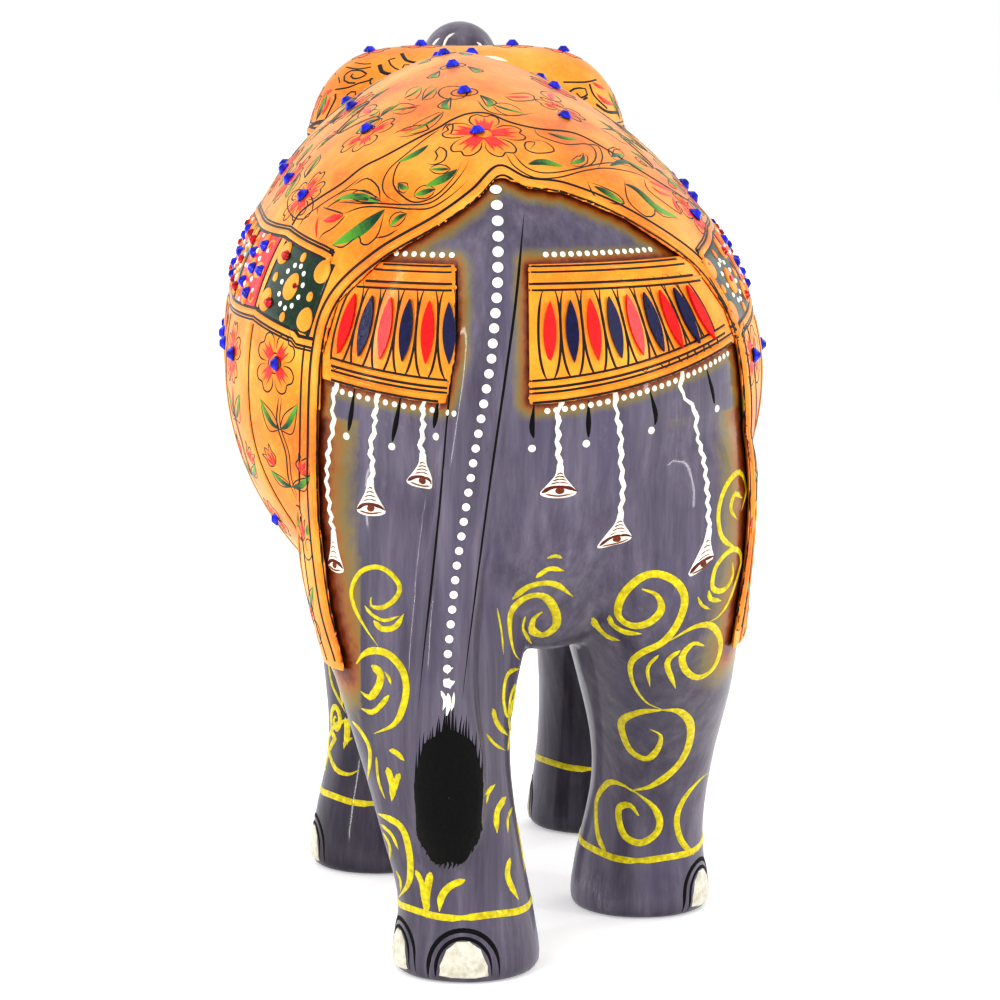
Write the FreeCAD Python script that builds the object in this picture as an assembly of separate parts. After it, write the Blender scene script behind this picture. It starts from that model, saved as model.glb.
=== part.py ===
import FreeCAD, Part
import Mesh
import MeshPart
import math
import os

# A carved and painted wooden elephant, trunk raised, in a walking pose.
#
# Millimetres, +Z up, the elephant faces +Y and its right side is +X.  Everything is laid out about the
# middle of the barrel of the body; the last step moves it so that the origin is the bottom centre of the
# whole figure.  The wood is four carvings (body block, raised trunk, two ears) and two tusks, held by
# dowels and glue.  Over the wood lie thin layers of gilded paste (saddle cloth, rump bands, head cloth),
# and on those sit flat-backed glass stones, enamel petals and drops of white enamel.

Vector = FreeCAD.Vector
X_AXIS, Y_AXIS, Z_AXIS = Vector(1, 0, 0), Vector(0, 1, 0), Vector(0, 0, 1)
SIDES = {"left": -1, "right": 1}

# ---------------------------------------------------------------- driving dimensions
BACK_HEIGHT = 211.5          # top of the spine above the floor
HALF_WIDTH = 64.5            # half the width of the barrel
BELLY = 66.0                 # underside of the barrel above the floor
RUMP_Y = -107.0              # rearmost point of the rump
BELLY_TAPER = 1.2            # above 1 draws the flanks in below the widest height
SPINE_X = -8.0               # the carved spine runs a little left of the middle

CLOTH = 1.6                  # thickness of the gilded paste of the saddle cloth
BAND = 1.2                   # thickness of the rump bands
HEAD_CLOTH = 1.4             # thickness of the head cloth
CLOTH_FRONT_Y = 46.0         # front edge of the saddle cloth
HEM_THIGH_Z = 73.0           # hem of the saddle cloth over the thigh
HEM_BELLY_Z = 91.0           # hem of the saddle cloth under the flank
HEAD_HEM_Z = 187.0           # hem of the head cloth beside the head
BROW_Z = 176.0               # lowest point of the head cloth on the forehead

BAND_TOP_Z = 169.0           # upper edge of the rump bands
BAND_LOW_Z = 136.8           # lower edge of the rump bands beside the tail
BAND_RISE = 0.0032           # the lower edge rises by this times the square of the distance out
TAIL_HALF = 8.6              # half the width of the carved tail

STONE_R = 1.75               # glass stones
STONE_H = 1.6
RED_STONE_R = 1.35           # red stones in the chequered band
TAIL_DROP_R = (1.4, 0.95)    # white drops down the tail, at its root and at its end
TAIL_DROP_PITCH = 3.45
TAIL_DROP_Z = (185.5, 73.0)  # first and last drop down the tail
BEAD_R = 0.7                 # white drops over and under the rump bands
BEAD_PITCH = {"left": 2.3, "right": 2.05}
BEADS_OVER = {"left": 8, "right": 15}
BEADS_UNDER = {"left": 15, "right": 27}
BEAD_START_X = {"left": -17.0, "right": 4.5}
PETAL_LENGTH = 14.5          # enamel petals of the rump bands
PETAL_WIDTH = 3.0
PETAL_PITCH = 5.2
PETAL_Z = 153.5              # middle of the petal beside the tail
PETAL_START_X = {"left": -18.0, "right": 5.0}
PETAL_COUNT = {"left": 6, "right": 9}
PETAL_LEAN = 2.8             # degrees that each petal leans out more than the one before it
LIFT = 0.01                  # room for the glue under a stone

DOWEL_R = 3.0                # trunk dowel
DOWEL_LENGTH = 22.0
PEG_R = 2.0                  # ear pegs and tusk tenons
PEG_LENGTH = 18.0
PEG_Z = 155.0
GLUE_GAP = 0.05              # radial room for glue round a dowel

FOOT_R = 17.6                # radius of a foot


# ---------------------------------------------------------------- wires and lofts
def closed_spline(points):
    curve = Part.BSplineCurve()
    curve.interpolate(Points=points, PeriodicFlag=True)
    return Part.Wire([curve.toShape()])


def loft(wires):
    return Part.makeLoft(wires, True, False, False, 5)


def signed_power(value, power):
    return math.copysign(abs(value) ** power, value)


def upright_ring(ring, spine):
    """A cross-section at y, widest at height middle.  A gable below 2 brings the back to a ridge, which
    stands spine to the side; above 2 it flattens the top."""
    y, x0, half, top, middle, low, gable = ring
    points = []
    count = 28
    for k in range(count):
        t = 2 * math.pi * k / count
        rise = math.sin(t)
        if rise >= 0:
            x = x0 + half * signed_power(math.cos(t), 2 / gable) + spine * rise ** 2
            points.append(Vector(x, y, middle + (top - middle) * rise))
        else:
            x = x0 + half * signed_power(math.cos(t), BELLY_TAPER)
            points.append(Vector(x, y, middle + (middle - low) * rise))
    return closed_spline(points)


def oval(centre, across, along, wide, deep, count=16):
    points = []
    for k in range(count):
        t = 2 * math.pi * k / count
        points.append(centre + across * (wide * math.cos(t)) + along * (deep * math.sin(t)))
    return closed_spline(points)


def level_oval(ring, grow=0.0):
    z, x, y, wide, deep = ring
    return oval(Vector(x, y, z), X_AXIS, Y_AXIS, wide + grow, deep + grow)


def slope(rings, i, column):
    """How fast a column of the rings changes with y, at ring i."""
    before, after = rings[max(i - 1, 0)], rings[min(i + 1, len(rings) - 1)]
    return (after[column] - before[column]) / (after[0] - before[0])


def grown_ring(rings, i, grow):
    """Ring i moved out square to the surface by grow, so that a layer keeps its thickness where the
    surface turns to face the rear or the front."""
    y, x0, half, top, middle, low, gable = rings[i]
    flare = slope(rings, i, 2)
    shift = -grow * flare / math.hypot(1.0, flare)

    def moved(column, outward):
        tilt = slope(rings, i, column)
        return rings[i][column] + tilt * shift + outward * grow * math.hypot(1.0, tilt)

    centre = x0 + slope(rings, i, 1) * shift
    waist = middle + slope(rings, i, 4) * shift
    return y + shift, centre, moved(2, 1), moved(3, 1), waist, moved(5, -1), gable


def along_y(rings, spine, grow):
    """Loft upright rings, moved out by grow."""
    return loft([upright_ring(grown_ring(rings, i, grow), spine) for i in range(len(rings))])


# ---------------------------------------------------------------- body, legs and tail
HIP_Y = -47.0                # the body reaches its full width at the hips
HIP_HALF = 63.5

#    Behind the hips the plan is half an ellipse: distance from the rump, middle x, top, underside, gable
REAR_RINGS = [
    (0.5, 0.0, 147.5, 128.0, 2.0),
    (3.0, 0.0, 166.0, 109.0, 2.0),
    (8.0, -0.5, 178.5, 96.0, 1.95),
    (16.0, -1.0, 187.5, 87.0, 1.85),
    (28.0, -2.0, 195.5, 79.0, 1.75),
    (43.0, -2.8, 201.5, 74.0, 1.65),
]
#    Before them: y, middle x, half width, top, widest height, underside, gable
FRONT_RINGS = [
    (HIP_Y, -3.0, HIP_HALF, 206.0, 139.0, 70.0, 1.58),
    (-23.0, -2.5, 64.0, BACK_HEIGHT - 1.8, 140.0, BELLY + 1.0, 1.52),
    (1.0, -2.0, HALF_WIDTH, BACK_HEIGHT, 140.0, BELLY, 1.5),
    (21.0, -1.5, HALF_WIDTH - 1.5, BACK_HEIGHT - 0.5, 141.0, BELLY, 1.5),
    (40.0, -1.0, 57.5, BACK_HEIGHT - 3.0, 143.0, 71.0, 1.6),
    (56.0, -1.0, 47.5, BACK_HEIGHT - 7.0, 147.0, 83.0, 1.8),
    (69.0, -0.5, 37.0, 198.0, 151.0, 99.0, 2.0),
    (78.0, 0.0, 24.0, 189.0, 155.0, 120.0, 2.0),
]


def hip_half(y):
    """Half width of the body behind the hips."""
    return HIP_HALF * math.sqrt(1 - ((y - HIP_Y) / (RUMP_Y - HIP_Y)) ** 2)


def barrel_rings():
    rear = []
    for back, x0, top, low, gable in REAR_RINGS:
        y = RUMP_Y + back
        rear.append((y, x0, hip_half(y), top, 138.0, low, gable))
    return rear + FRONT_RINGS


#    height, x, y, half width, half depth
HAUNCH = [
    (74.0, 7.0, -66.0, 5.0, 10.0),
    (78.5, 7.0, -66.0, 14.0, 18.0),
    (87.0, 6.0, -66.0, 24.0, 24.0),
    (99.0, 4.0, -66.0, 34.0, 31.0),
    (116.0, 1.0, -66.0, 43.0, 35.5),
    (140.0, 0.0, -64.0, 46.0, 36.0),
]


def foot(x, y):
    return [
        (0.0, x, y, FOOT_R - 1.2, FOOT_R - 1.2),
        (1.4, x, y, FOOT_R - 0.1, FOOT_R - 0.1),
        (5.0, x, y, FOOT_R, FOOT_R),
        (14.0, x, y, FOOT_R - 1.4, FOOT_R - 1.4),
    ]


LEGS = {
    "left_hind": foot(-13.0, -87.0) + [
        (30.0, -16.1, -88.5, 16.2, 15.6),
        (44.0, -19.0, -88.5, 17.0, 16.6),
        (60.0, -21.4, -86.0, 19.3, 19.6),
        (80.0, -22.0, -79.0, 24.5, 25.0),
        (104.0, -23.5, -71.5, 27.0, 30.0),
        (128.0, -24.0, -66.0, 25.0, 28.0),
        (146.0, -23.0, -62.0, 16.0, 18.0),
    ],
    "right_hind": foot(35.0, -30.5) + [
        (30.0, 36.6, -34.0, 14.8, 15.6),
        (44.0, 37.2, -40.0, 15.7, 18.0),
        (60.0, 36.4, -49.0, 18.6, 24.0),
        (80.0, 33.8, -59.0, 22.0, 30.0),
        (104.0, 30.0, -64.5, 27.0, 33.0),
        (128.0, 27.0, -64.0, 27.0, 29.0),
        (146.0, 24.0, -60.0, 18.0, 19.0),
    ],
    "left_fore": foot(-29.0, 20.0) + [
        (30.0, -27.0, 21.0, 15.0, 15.2),
        (50.0, -27.0, 24.0, 15.6, 17.0),
        (72.0, -28.0, 28.0, 17.5, 21.0),
        (98.0, -31.5, 31.0, 23.0, 26.0),
        (126.0, -33.0, 30.0, 23.0, 25.0),
        (146.0, -30.0, 28.0, 15.0, 16.0),
    ],
    "right_fore": foot(32.0, 60.0) + [
        (30.0, 32.0, 58.0, 15.0, 15.2),
        (50.0, 32.0, 53.0, 15.8, 17.0),
        (72.0, 32.0, 46.0, 19.0, 22.0),
        (98.0, 33.0, 39.0, 23.5, 27.0),
        (126.0, 33.0, 34.0, 23.0, 25.0),
        (146.0, 30.0, 30.0, 15.0, 16.0),
    ],
}

#    height, x, y of the middle line of the tail, half width, half depth
TAIL = [
    (190.0, -6.5, -84.0, TAIL_HALF - 4.0, 4.0),
    (184.0, -6.4, -91.0, TAIL_HALF - 2.0, 5.0),
    (176.0, -6.4, -96.0, TAIL_HALF, 5.4),
    (164.0, -6.9, -100.3, TAIL_HALF + 0.4, 5.6),
    (148.0, -8.5, -103.2, TAIL_HALF, 5.6),
    (126.0, -12.5, -104.2, TAIL_HALF - 0.8, 5.6),
    (100.0, -16.5, -102.6, TAIL_HALF - 1.3, 5.6),
    (78.0, -18.8, -103.5, TAIL_HALF - 1.5, 5.6),
    (62.0, -18.6, -104.5, TAIL_HALF - 0.8, 5.4),
    (46.0, -18.0, -104.5, TAIL_HALF, 5.2),
    (34.0, -17.6, -103.5, TAIL_HALF - 2.4, 4.6),
    (28.5, -17.4, -102.0, TAIL_HALF - 5.6, 3.0),
]


def barrel(grow=0.0):
    return along_y(barrel_rings(), SPINE_X + 2.0, grow)


def haunch(grow=0.0):
    return loft([level_oval(ring, grow) for ring in HAUNCH])


def leg(name, grow=0.0):
    return loft([level_oval(ring, grow) for ring in LEGS[name]])


def tail():
    return loft([level_oval(ring) for ring in TAIL])


# ---------------------------------------------------------------- head, trunk, ears and tusks
HEAD = [
    (55.0, -1.0, 28.0, 192.0, 165.0, 122.0, 2.0),
    (62.0, -1.0, 38.0, 203.0, 171.0, 116.0, 2.8),
    (73.0, -0.8, 42.3, 208.8, 176.0, 112.0, 4.0),
    (86.0, -0.6, 42.8, 210.6, 178.0, 111.0, 4.6),
    (98.0, -0.4, 38.5, 206.0, 175.0, 113.0, 3.6),
    (107.0, 0.0, 31.5, 196.0, 169.0, 118.0, 2.8),
    (113.0, 0.0, 22.0, 183.0, 162.0, 126.0, 2.3),
    (116.0, 0.0, 10.0, 170.0, 155.0, 138.0, 2.0),
]

#    y, z of the middle line, radius, from inside the face to the curled tip
TRUNK = [
    (94.0, 162.0, 22.0),
    (104.0, 153.0, 20.0),
    (114.0, 145.5, 17.8),
    (123.5, 142.5, 16.0),
    (132.0, 146.0, 14.6),
    (137.0, 155.5, 13.5),
    (138.5, 168.0, 12.7),
    (137.5, 181.0, 12.1),
    (134.0, 193.5, 11.6),
    (127.5, 203.3, 11.1),
    (118.5, 207.4, 10.4),
    (111.5, 205.5, 9.2),
]
JOINT_RING = 4               # the trunk is joined to the face at this ring

#    y, z of the middle line of the lower lip, radius
LIP = [
    (88.0, 126.0, 15.0), (100.0, 121.5, 12.5), (110.0, 121.5, 9.5), (118.0, 124.5, 6.5), (122.0, 127.5, 3.5),
]

#    Outline of an ear in its own plane: distance out from its root, height
EAR_OUTLINE = [
    (-1.0, 172.0), (3.5, 181.0), (11.5, 182.5), (19.5, 177.0), (25.5, 168.0), (29.0, 155.0),
    (29.0, 141.0), (25.5, 128.0), (19.0, 118.0), (11.5, 114.0), (5.0, 119.0), (1.0, 131.0),
    (-2.0, 146.0), (-2.5, 160.0),
]
EAR_ROOT = Vector(36.5, 80.0, 0.0)
EAR_THICK = 6.0
EAR_EDGE = 2.2               # rounding of the rim of an ear
EAR_SWEEP = 35.0             # degrees an ear leans back from the head

TUSK_ROOT = Vector(20.0, 103.0, 138.0)
TUSK_REACH = 33.0
TUSK_SPREAD = 6.5
TUSK_R = 4.2
TENON_LENGTH = 14.0


def head(grow=0.0):
    return along_y(HEAD, 0.0, grow)


def trunk_frames():
    """Centre, radius and direction at each ring of the trunk."""
    spots = [Vector(0, y, z) for y, z, _ in TRUNK]
    frames = []
    for i, (_, _, radius) in enumerate(TRUNK):
        before, after = spots[max(i - 1, 0)], spots[min(i + 1, len(spots) - 1)]
        frames.append((spots[i], radius, (after - before).normalize()))
    return frames


def trunk():
    frames = trunk_frames()
    rings = [oval(c, X_AXIS, d.cross(X_AXIS), r, r) for c, r, d in frames]
    centre, radius, direction = frames[-1]
    for step, share in ((2.2, 0.82), (3.4, 0.5)):
        small = radius * share
        rings.append(oval(centre + direction * step, X_AXIS, direction.cross(X_AXIS), small, small))
    return loft(rings)


def lip():
    return loft([oval(Vector(0, y, z), X_AXIS, Z_AXIS, r * 1.15, r * 0.8) for y, z, r in LIP])


def tip_side():
    """The half space beyond the trunk joint, kept clear of the face and the jaw."""
    size = 200.0
    centre, _, direction = trunk_frames()[JOINT_RING]
    block = Part.makeBox(size, size, size, Vector(-size / 2, -size / 2, 0))
    block.Placement = FreeCAD.Placement(centre, FreeCAD.Rotation(Z_AXIS, direction))
    return block.common(Part.makeBox(size, size, size, Vector(-size / 2, 100.0, 140.0)))


def ear(side):
    outline = closed_spline([EAR_ROOT + Vector(out, 0, z) for out, z in EAR_OUTLINE])
    flap = Part.Face(outline).extrude(Y_AXIS * -EAR_THICK)
    flap = flap.makeFillet(EAR_EDGE, flap.Edges)
    flap.rotate(EAR_ROOT, Z_AXIS, -EAR_SWEEP)
    return flap if side > 0 else flap.mirror(Vector(0, 0, 0), X_AXIS)


def ear_peg(side):
    """Start, direction and length of the peg that holds an ear."""
    lean = math.radians(EAR_SWEEP)
    direction = Vector(side * math.cos(lean), -math.sin(lean), 0)
    inward = Vector(-side * math.sin(lean), -math.cos(lean), 0)
    root = Vector(side * EAR_ROOT.x, EAR_ROOT.y, PEG_Z) + inward * (EAR_THICK / 2)
    return root - direction * (PEG_LENGTH / 2), direction, PEG_LENGTH


def tusk_line(side, s):
    """The middle line of a tusk, s from 0 inside the lip to 1 at the tip."""
    x = TUSK_ROOT.x + TUSK_SPREAD * s
    y = TUSK_ROOT.y + TUSK_REACH * s
    z = TUSK_ROOT.z - 9.0 * s + 13.0 * s * s
    return Vector(side * x, y, z)


def tusk(side):
    rings = []
    for s in (0.0, 0.2, 0.4, 0.6, 0.78, 0.92, 1.0):
        radius = TUSK_R * (1 - 0.88 * s ** 2.4)
        direction = (tusk_line(side, s + 0.02) - tusk_line(side, s - 0.02)).normalize()
        across = direction.cross(Z_AXIS).normalize()
        rings.append(oval(tusk_line(side, s), across, across.cross(direction), radius, radius, 12))
    return loft(rings)


def tusk_tenon(side):
    direction = (tusk_line(side, 0.3) - tusk_line(side, 0.0)).normalize()
    return tusk_line(side, 0.2) - direction * TENON_LENGTH, direction, TENON_LENGTH + 2.0


def rod(start, direction, length, radius):
    return Part.makeCylinder(radius, length, start, direction)


def largest(shape):
    return max(shape.Solids, key=lambda s: s.Volume)


def carve():
    """The wooden pieces, and the whole outside of the wood for the layers that lie on it."""
    limbs = [leg(name) for name in LEGS]
    wood = barrel().fuse(limbs + [haunch(), tail(), head(), lip(), trunk()])
    tip = largest(trunk().common(tip_side()))
    block = largest(wood.cut(tip))
    pieces = {}

    centre, _, direction = trunk_frames()[JOINT_RING]
    start = centre - direction * (DOWEL_LENGTH / 2)
    hole = rod(start - direction, direction, DOWEL_LENGTH + 2.0, DOWEL_R + GLUE_GAP)
    block = block.cut(hole)
    pieces["raised_trunk"] = largest(tip.cut(hole))
    pieces["trunk_dowel"] = rod(start, direction, DOWEL_LENGTH, DOWEL_R)

    for word, side in SIDES.items():
        flap = largest(ear(side).cut(block))
        start, along, length = ear_peg(side)
        hole = rod(start - along * 0.5, along, length + 1.0, PEG_R + GLUE_GAP)
        block = block.cut(hole)
        pieces["ear_" + word] = largest(flap.cut(hole))
        pieces["ear_peg_" + word] = rod(start, along, length, PEG_R)

        tooth = largest(tusk(side).cut(block))
        start, along, length = tusk_tenon(side)
        pieces["tusk_" + word] = tooth.fuse(rod(start, along, length, PEG_R))
        block = block.cut(rod(start - along * 0.5, along, length, PEG_R + GLUE_GAP))
    pieces["body_block"] = largest(block)
    return pieces, wood


# ---------------------------------------------------------------- gilded paste layers
REACH = 240.0                # long enough to pass through the whole figure


def prism(points, axis, length):
    face = Part.Face(Part.makePolygon(points + [points[0]]))
    return face.extrude(axis * length)


#    Seen from the side: y, z round the saddle cloth, with the hem falling over the thigh
SADDLE_SIDE = [
    (-120.0, HEM_THIGH_Z), (-74.0, HEM_THIGH_Z), (-58.0, HEM_THIGH_Z + 4.0), (-42.0, HEM_BELLY_Z - 4.0),
    (-28.0, HEM_BELLY_Z), (10.0, HEM_BELLY_Z), (CLOTH_FRONT_Y - 8.0, HEM_BELLY_Z + 2.0),
    (CLOTH_FRONT_Y, HEM_BELLY_Z + 10.0), (CLOTH_FRONT_Y, 185.0), (CLOTH_FRONT_Y - 5.0, 250.0),
    (-120.0, 250.0),
]
#    Seen from behind: x, z round the bare part of the rump and hind legs
BARE_REAR = [
    (-40.0, 30.0), (-41.5, 73.0), (-44.8, 88.0), (-46.9, 106.0), (-47.3, 124.0), (-46.3, 147.0),
    (-42.5, 159.5), (-32.5, 169.5), (-18.5, 178.0), (-10.5, 183.5), (-5.0, 188.2), (0.5, 185.6),
    (10.0, 184.0), (24.0, 178.0), (40.5, 167.0), (48.5, 156.0), (52.0, 146.0), (54.2, 129.0),
    (54.8, 110.0), (54.2, 96.0), (52.0, 76.0), (50.0, 30.0),
]
BARE_DEPTH_Y = -53.0         # the bare part is cut this far forward
BEHIND_Y = -130.0            # outlines seen from behind are pushed forward from here, clear of the rump
BAND_REACH_X = 68.0          # the rump bands are cut from outlines this wide
BAND_REACH_Y = 70.0          # and this deep
BAND_START_X = 8.2           # they end this far from the middle line of the tail


def outside(cores, grow, region):
    """The part of a grown copy of the cores that lies inside region."""
    grown = [core(grow) for core in cores]
    return grown[0].fuse(grown[1:]).common(region)


def clean(shape):
    """The solids of a shape, without slivers left by the cuts."""
    solids = [s for s in shape.Solids if s.Volume > 2.0]
    return solids[0] if len(solids) == 1 else Part.Compound(solids)


def leg_core(name):
    return lambda grow: leg(name, grow)


def body_cores():
    return [barrel, haunch] + [leg_core(name) for name in LEGS]


def saddle_cloth(wood):
    region = prism([Vector(-REACH / 2, y, z) for y, z in SADDLE_SIDE], X_AXIS, REACH)
    bare = prism([Vector(x, BEHIND_Y, z) for x, z in BARE_REAR], Y_AXIS, BARE_DEPTH_Y - BEHIND_Y)
    layer = outside(body_cores(), CLOTH, region.cut(bare))
    return clean(layer.cut(wood))


def rump_band(wood, cloth, side):
    """The band between the tail and the saddle cloth on one side."""
    points = [(SPINE_X + side * BAND_REACH_X, BAND_TOP_Z)]
    points.append((SPINE_X + side * BAND_START_X, BAND_TOP_Z))
    for k in range(13):
        out = BAND_START_X + (BAND_REACH_X - BAND_START_X) * k / 12
        points.append((SPINE_X + side * out, BAND_LOW_Z + BAND_RISE * out ** 2))
    region = prism([Vector(x, BEHIND_Y, z) for x, z in points], Y_AXIS, BAND_REACH_Y)
    layer = outside([barrel, haunch, leg_core("left_hind"), leg_core("right_hind")], BAND, region)
    layer = layer.cut(wood.fuse(cloth))
    return largest(layer)


def head_cloth(wood, others):
    brow = [(-70.0, HEAD_HEM_Z), (-30.0, HEAD_HEM_Z), (-16.0, HEAD_HEM_Z - 4.0), (0.0, BROW_Z),
            (16.0, HEAD_HEM_Z - 4.0), (30.0, HEAD_HEM_Z), (70.0, HEAD_HEM_Z), (70.0, 250.0), (-70.0, 250.0)]
    region = prism([Vector(x, 60.0, z) for x, z in brow], Y_AXIS, 70.0)
    layer = outside([head], HEAD_CLOTH, region).cut(wood)
    for other in others:
        layer = layer.cut(other)
    return clean(layer)


# ---------------------------------------------------------------- stones, petals and drops
class Skin:
    """Finds points and normals on the outside of a shape, to seat small pieces on it."""

    def __init__(self, shape):
        self.shape = shape
        self.mesh = MeshPart.meshFromShape(Shape=shape, LinearDeflection=0.15, AngularDeflection=0.4)

    def hit(self, start, direction):
        """The first point on a line from start, and the outward normal there."""
        hits = self.mesh.nearestFacetOnRay(tuple(start), tuple(direction))
        index, spot = list(hits.items())[0]
        return self.settle(Vector(*spot), direction * -1)

    def settle(self, near, outward):
        """The point of the shape nearest to near, and the normal on the outward side."""
        _, pairs, info = self.shape.distToShape(Part.Vertex(near))
        spot = pairs[0][0]
        kind, index, where = info[0][0], info[0][1], info[0][2]
        if kind == "Face":
            normal = self.shape.Faces[index].normalAt(*where)
        else:
            normal = Vector(outward)
        if normal.dot(outward) < 0:
            normal = normal * -1
        return spot, normal.normalize()

    def around(self, y, degrees, middle=138.0):
        """At station y, degrees from straight up, positive towards the right side."""
        out = Vector(math.sin(math.radians(degrees)), 0, math.cos(math.radians(degrees)))
        return self.hit(Vector(0, y, middle) + out * 150.0, out * -1)

    def flank(self, y, z, side):
        return self.hit(Vector(side * 150.0, y, z), X_AXIS * -side)

    def behind(self, x, z):
        return self.hit(Vector(x, -200.0, z), Y_AXIS)


def stone(spot, normal, radius=STONE_R, height=STONE_H):
    """A flat-backed cut stone: a low girdle, then a crown that narrows to a small table."""
    girdle = 0.3 * height
    base = spot + normal * LIFT
    body = Part.makeCylinder(radius, girdle, base, normal)
    return body.fuse(Part.makeCone(radius, 0.42 * radius, height - girdle, base + normal * girdle, normal))


def drop(spot, normal, radius):
    """A domed drop of enamel, flat underneath."""
    latitude = 38.0
    ball = radius / math.cos(math.radians(latitude))
    sunk = ball * math.sin(math.radians(latitude))
    return Part.makeSphere(ball, spot + normal * (LIFT - sunk), normal, latitude, 90.0, 360.0)


def petal(spot, normal, upright, length, width, height=0.7):
    """A pointed oval of enamel, flat underneath, its long axis along upright."""
    upright = (upright - normal * upright.dot(normal)).normalize()
    across = normal.cross(upright)
    bulge = (length ** 2 + width ** 2) / (4 * width)
    base = spot + normal * LIFT
    one = rod(base + across * (bulge - width / 2), normal, height, bulge)
    two = rod(base - across * (bulge - width / 2), normal, height, bulge)
    return one.common(two)


CHECK_COUNT = 6              # squares in the chequered band on each flank
CHECK_LENGTH = 24.0
CHECK_STEPS = 6              # steps of the path over one square
CHECK_START_Y = {"left": -89.0, "right": -82.0}
CHECK_REAR_Z = 159.5         # middle of the band at its rear end
CHECK_Z = 164.5              # middle of the band past the first square
RED_CORNER = (8.4, 6.0)      # corner stones of a green square from its middle, along and up
RING_R = 6.3                 # ring of blue stones in a red square
RING_COUNT = 5
PANEL_STONE_Z = 144.0        # stone of the flower below each square
PANEL_LOW_Z = 104.0          # lower stone below every second square

SPINE_DEGREES = -9.0         # the spine, seen from the middle of the barrel
SPINE_STONES = [-78.0, -54.0, -24.0, 6.0, 32.0]
FIELD_STONES = [-55.0, -15.0, 25.0]
FIELD_DEGREES = 21.0         # either side of the spine
SHOULDER_STONES = [-62.0, -36.0, -8.0, 20.0]
SHOULDER_DEGREES = 48.5      # either side of straight up
#    Stones of the head cloth: x, y
CAP_STONES = [(-27.0, 84.0), (-13.0, 84.0), (12.0, 84.0), (26.0, 84.0), (0.0, 98.0), (0.0, 73.0)]


def band_path(skin, word):
    """Spots along the middle of the chequered band, from its rear end forward."""
    side = SIDES[word]
    step = CHECK_LENGTH / CHECK_STEPS
    spot, normal = skin.flank(CHECK_START_Y[word], CHECK_REAR_Z, side)
    path = [(spot, normal)]
    for k in range(1, CHECK_COUNT * CHECK_STEPS + 1):
        ahead = Z_AXIS.cross(normal).normalize() * side
        target = spot + ahead * step
        target.z = CHECK_REAR_Z + (CHECK_Z - CHECK_REAR_Z) * min(1.0, k / CHECK_STEPS)
        spot, normal = skin.settle(target, normal)
        path.append((spot, normal))
    return path


def beside(skin, path, index, along, up):
    """The spot on the skin offset from a point of the path, along it and up the flank."""
    spot, normal = path[index]
    ahead = (path[index + 1][0] - path[index - 1][0]).normalize()
    rise = normal.cross(ahead)
    if rise.z < 0:
        rise = rise * -1
    return skin.settle(spot + ahead * along + rise * up, normal)


def gather(pieces):
    return Part.Compound(pieces)


def check_stones(cloth, word):
    """Blue and red stones of the chequered band on one flank, and of the panels below it."""
    blue, red = [], []
    path = band_path(cloth, word)
    side = SIDES[word]
    for k in range(CHECK_COUNT):
        middle = CHECK_STEPS * k + CHECK_STEPS // 2
        blue.append(stone(*cloth.flank(path[middle][0].y, PANEL_STONE_Z, side)))
        if k % 2:
            blue.append(stone(*path[middle], 1.5, 1.5))
            for i in range(RING_COUNT):
                turn = math.pi + 2 * math.pi * i / RING_COUNT
                spot = beside(cloth, path, middle, RING_R * math.cos(turn), RING_R * math.sin(turn))
                blue.append(stone(*spot, 1.5, 1.5))
            blue.append(stone(*cloth.flank(path[middle][0].y, PANEL_LOW_Z, side)))
        else:
            along, up = RED_CORNER
            spots = [path[middle]]
            spots += [beside(cloth, path, middle, i * along, j * up) for i in (-1, 1) for j in (-1, 1)]
            red += [stone(*spot, RED_STONE_R, 1.3) for spot in spots]
    return blue, red


def saddle_stones(cloth):
    spots = [(y, SPINE_DEGREES) for y in SPINE_STONES]
    for side in SIDES.values():
        spots += [(y, SPINE_DEGREES + side * FIELD_DEGREES) for y in FIELD_STONES]
        spots += [(y, side * SHOULDER_DEGREES) for y in SHOULDER_STONES]
    blue = [stone(*cloth.around(y, degrees)) for y, degrees in spots]
    red = []
    for word in SIDES:
        more_blue, more_red = check_stones(cloth, word)
        blue += more_blue
        red += more_red
    return gather(blue), gather(red)


def outward(normal, side):
    """The level direction on a surface that leads away from the tail."""
    step = normal.cross(Z_AXIS).normalize()
    return step * (side if step.x > 0 else -side)


def row(skin, x, z_at, pitch, count, side):
    """Spots along a band, starting beside the tail at x, at heights given by z_at(x)."""
    spots = []
    spot, normal = skin.behind(x, z_at(x))
    for _ in range(count):
        spots.append((spot, normal))
        target = spot + outward(normal, side) * pitch
        target.z = z_at(target.x)
        spot, normal = skin.settle(target, normal)
    return spots


def band_low(x):
    return BAND_LOW_Z + BAND_RISE * (x - SPINE_X) ** 2


def petal_line(x):
    """Height of the middle of the petals: it rises a third as fast as the lower edge."""
    return PETAL_Z + 0.35 * (band_low(x) - BAND_LOW_Z)


def band_petals(bands):
    """Pointed petals of enamel, red and dark blue by turns."""
    reds, blues = [], []
    for word, side in SIDES.items():
        seats = row(bands[word], PETAL_START_X[word], petal_line, PETAL_PITCH, PETAL_COUNT[word], side)
        first_red = 0 if word == "right" else 1
        for i, (spot, normal) in enumerate(seats):
            lean = math.radians(PETAL_LEAN * i)
            upright = Z_AXIS * math.cos(lean) - outward(normal, side) * math.sin(lean)
            piece = petal(spot, normal, upright, PETAL_LENGTH, PETAL_WIDTH)
            (reds if i % 2 == first_red else blues).append(piece)
    return gather(reds), gather(blues)


def over_band(x):
    return BAND_TOP_Z + 2.0


def under_band(x):
    return band_low(x) - 1.7


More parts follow.
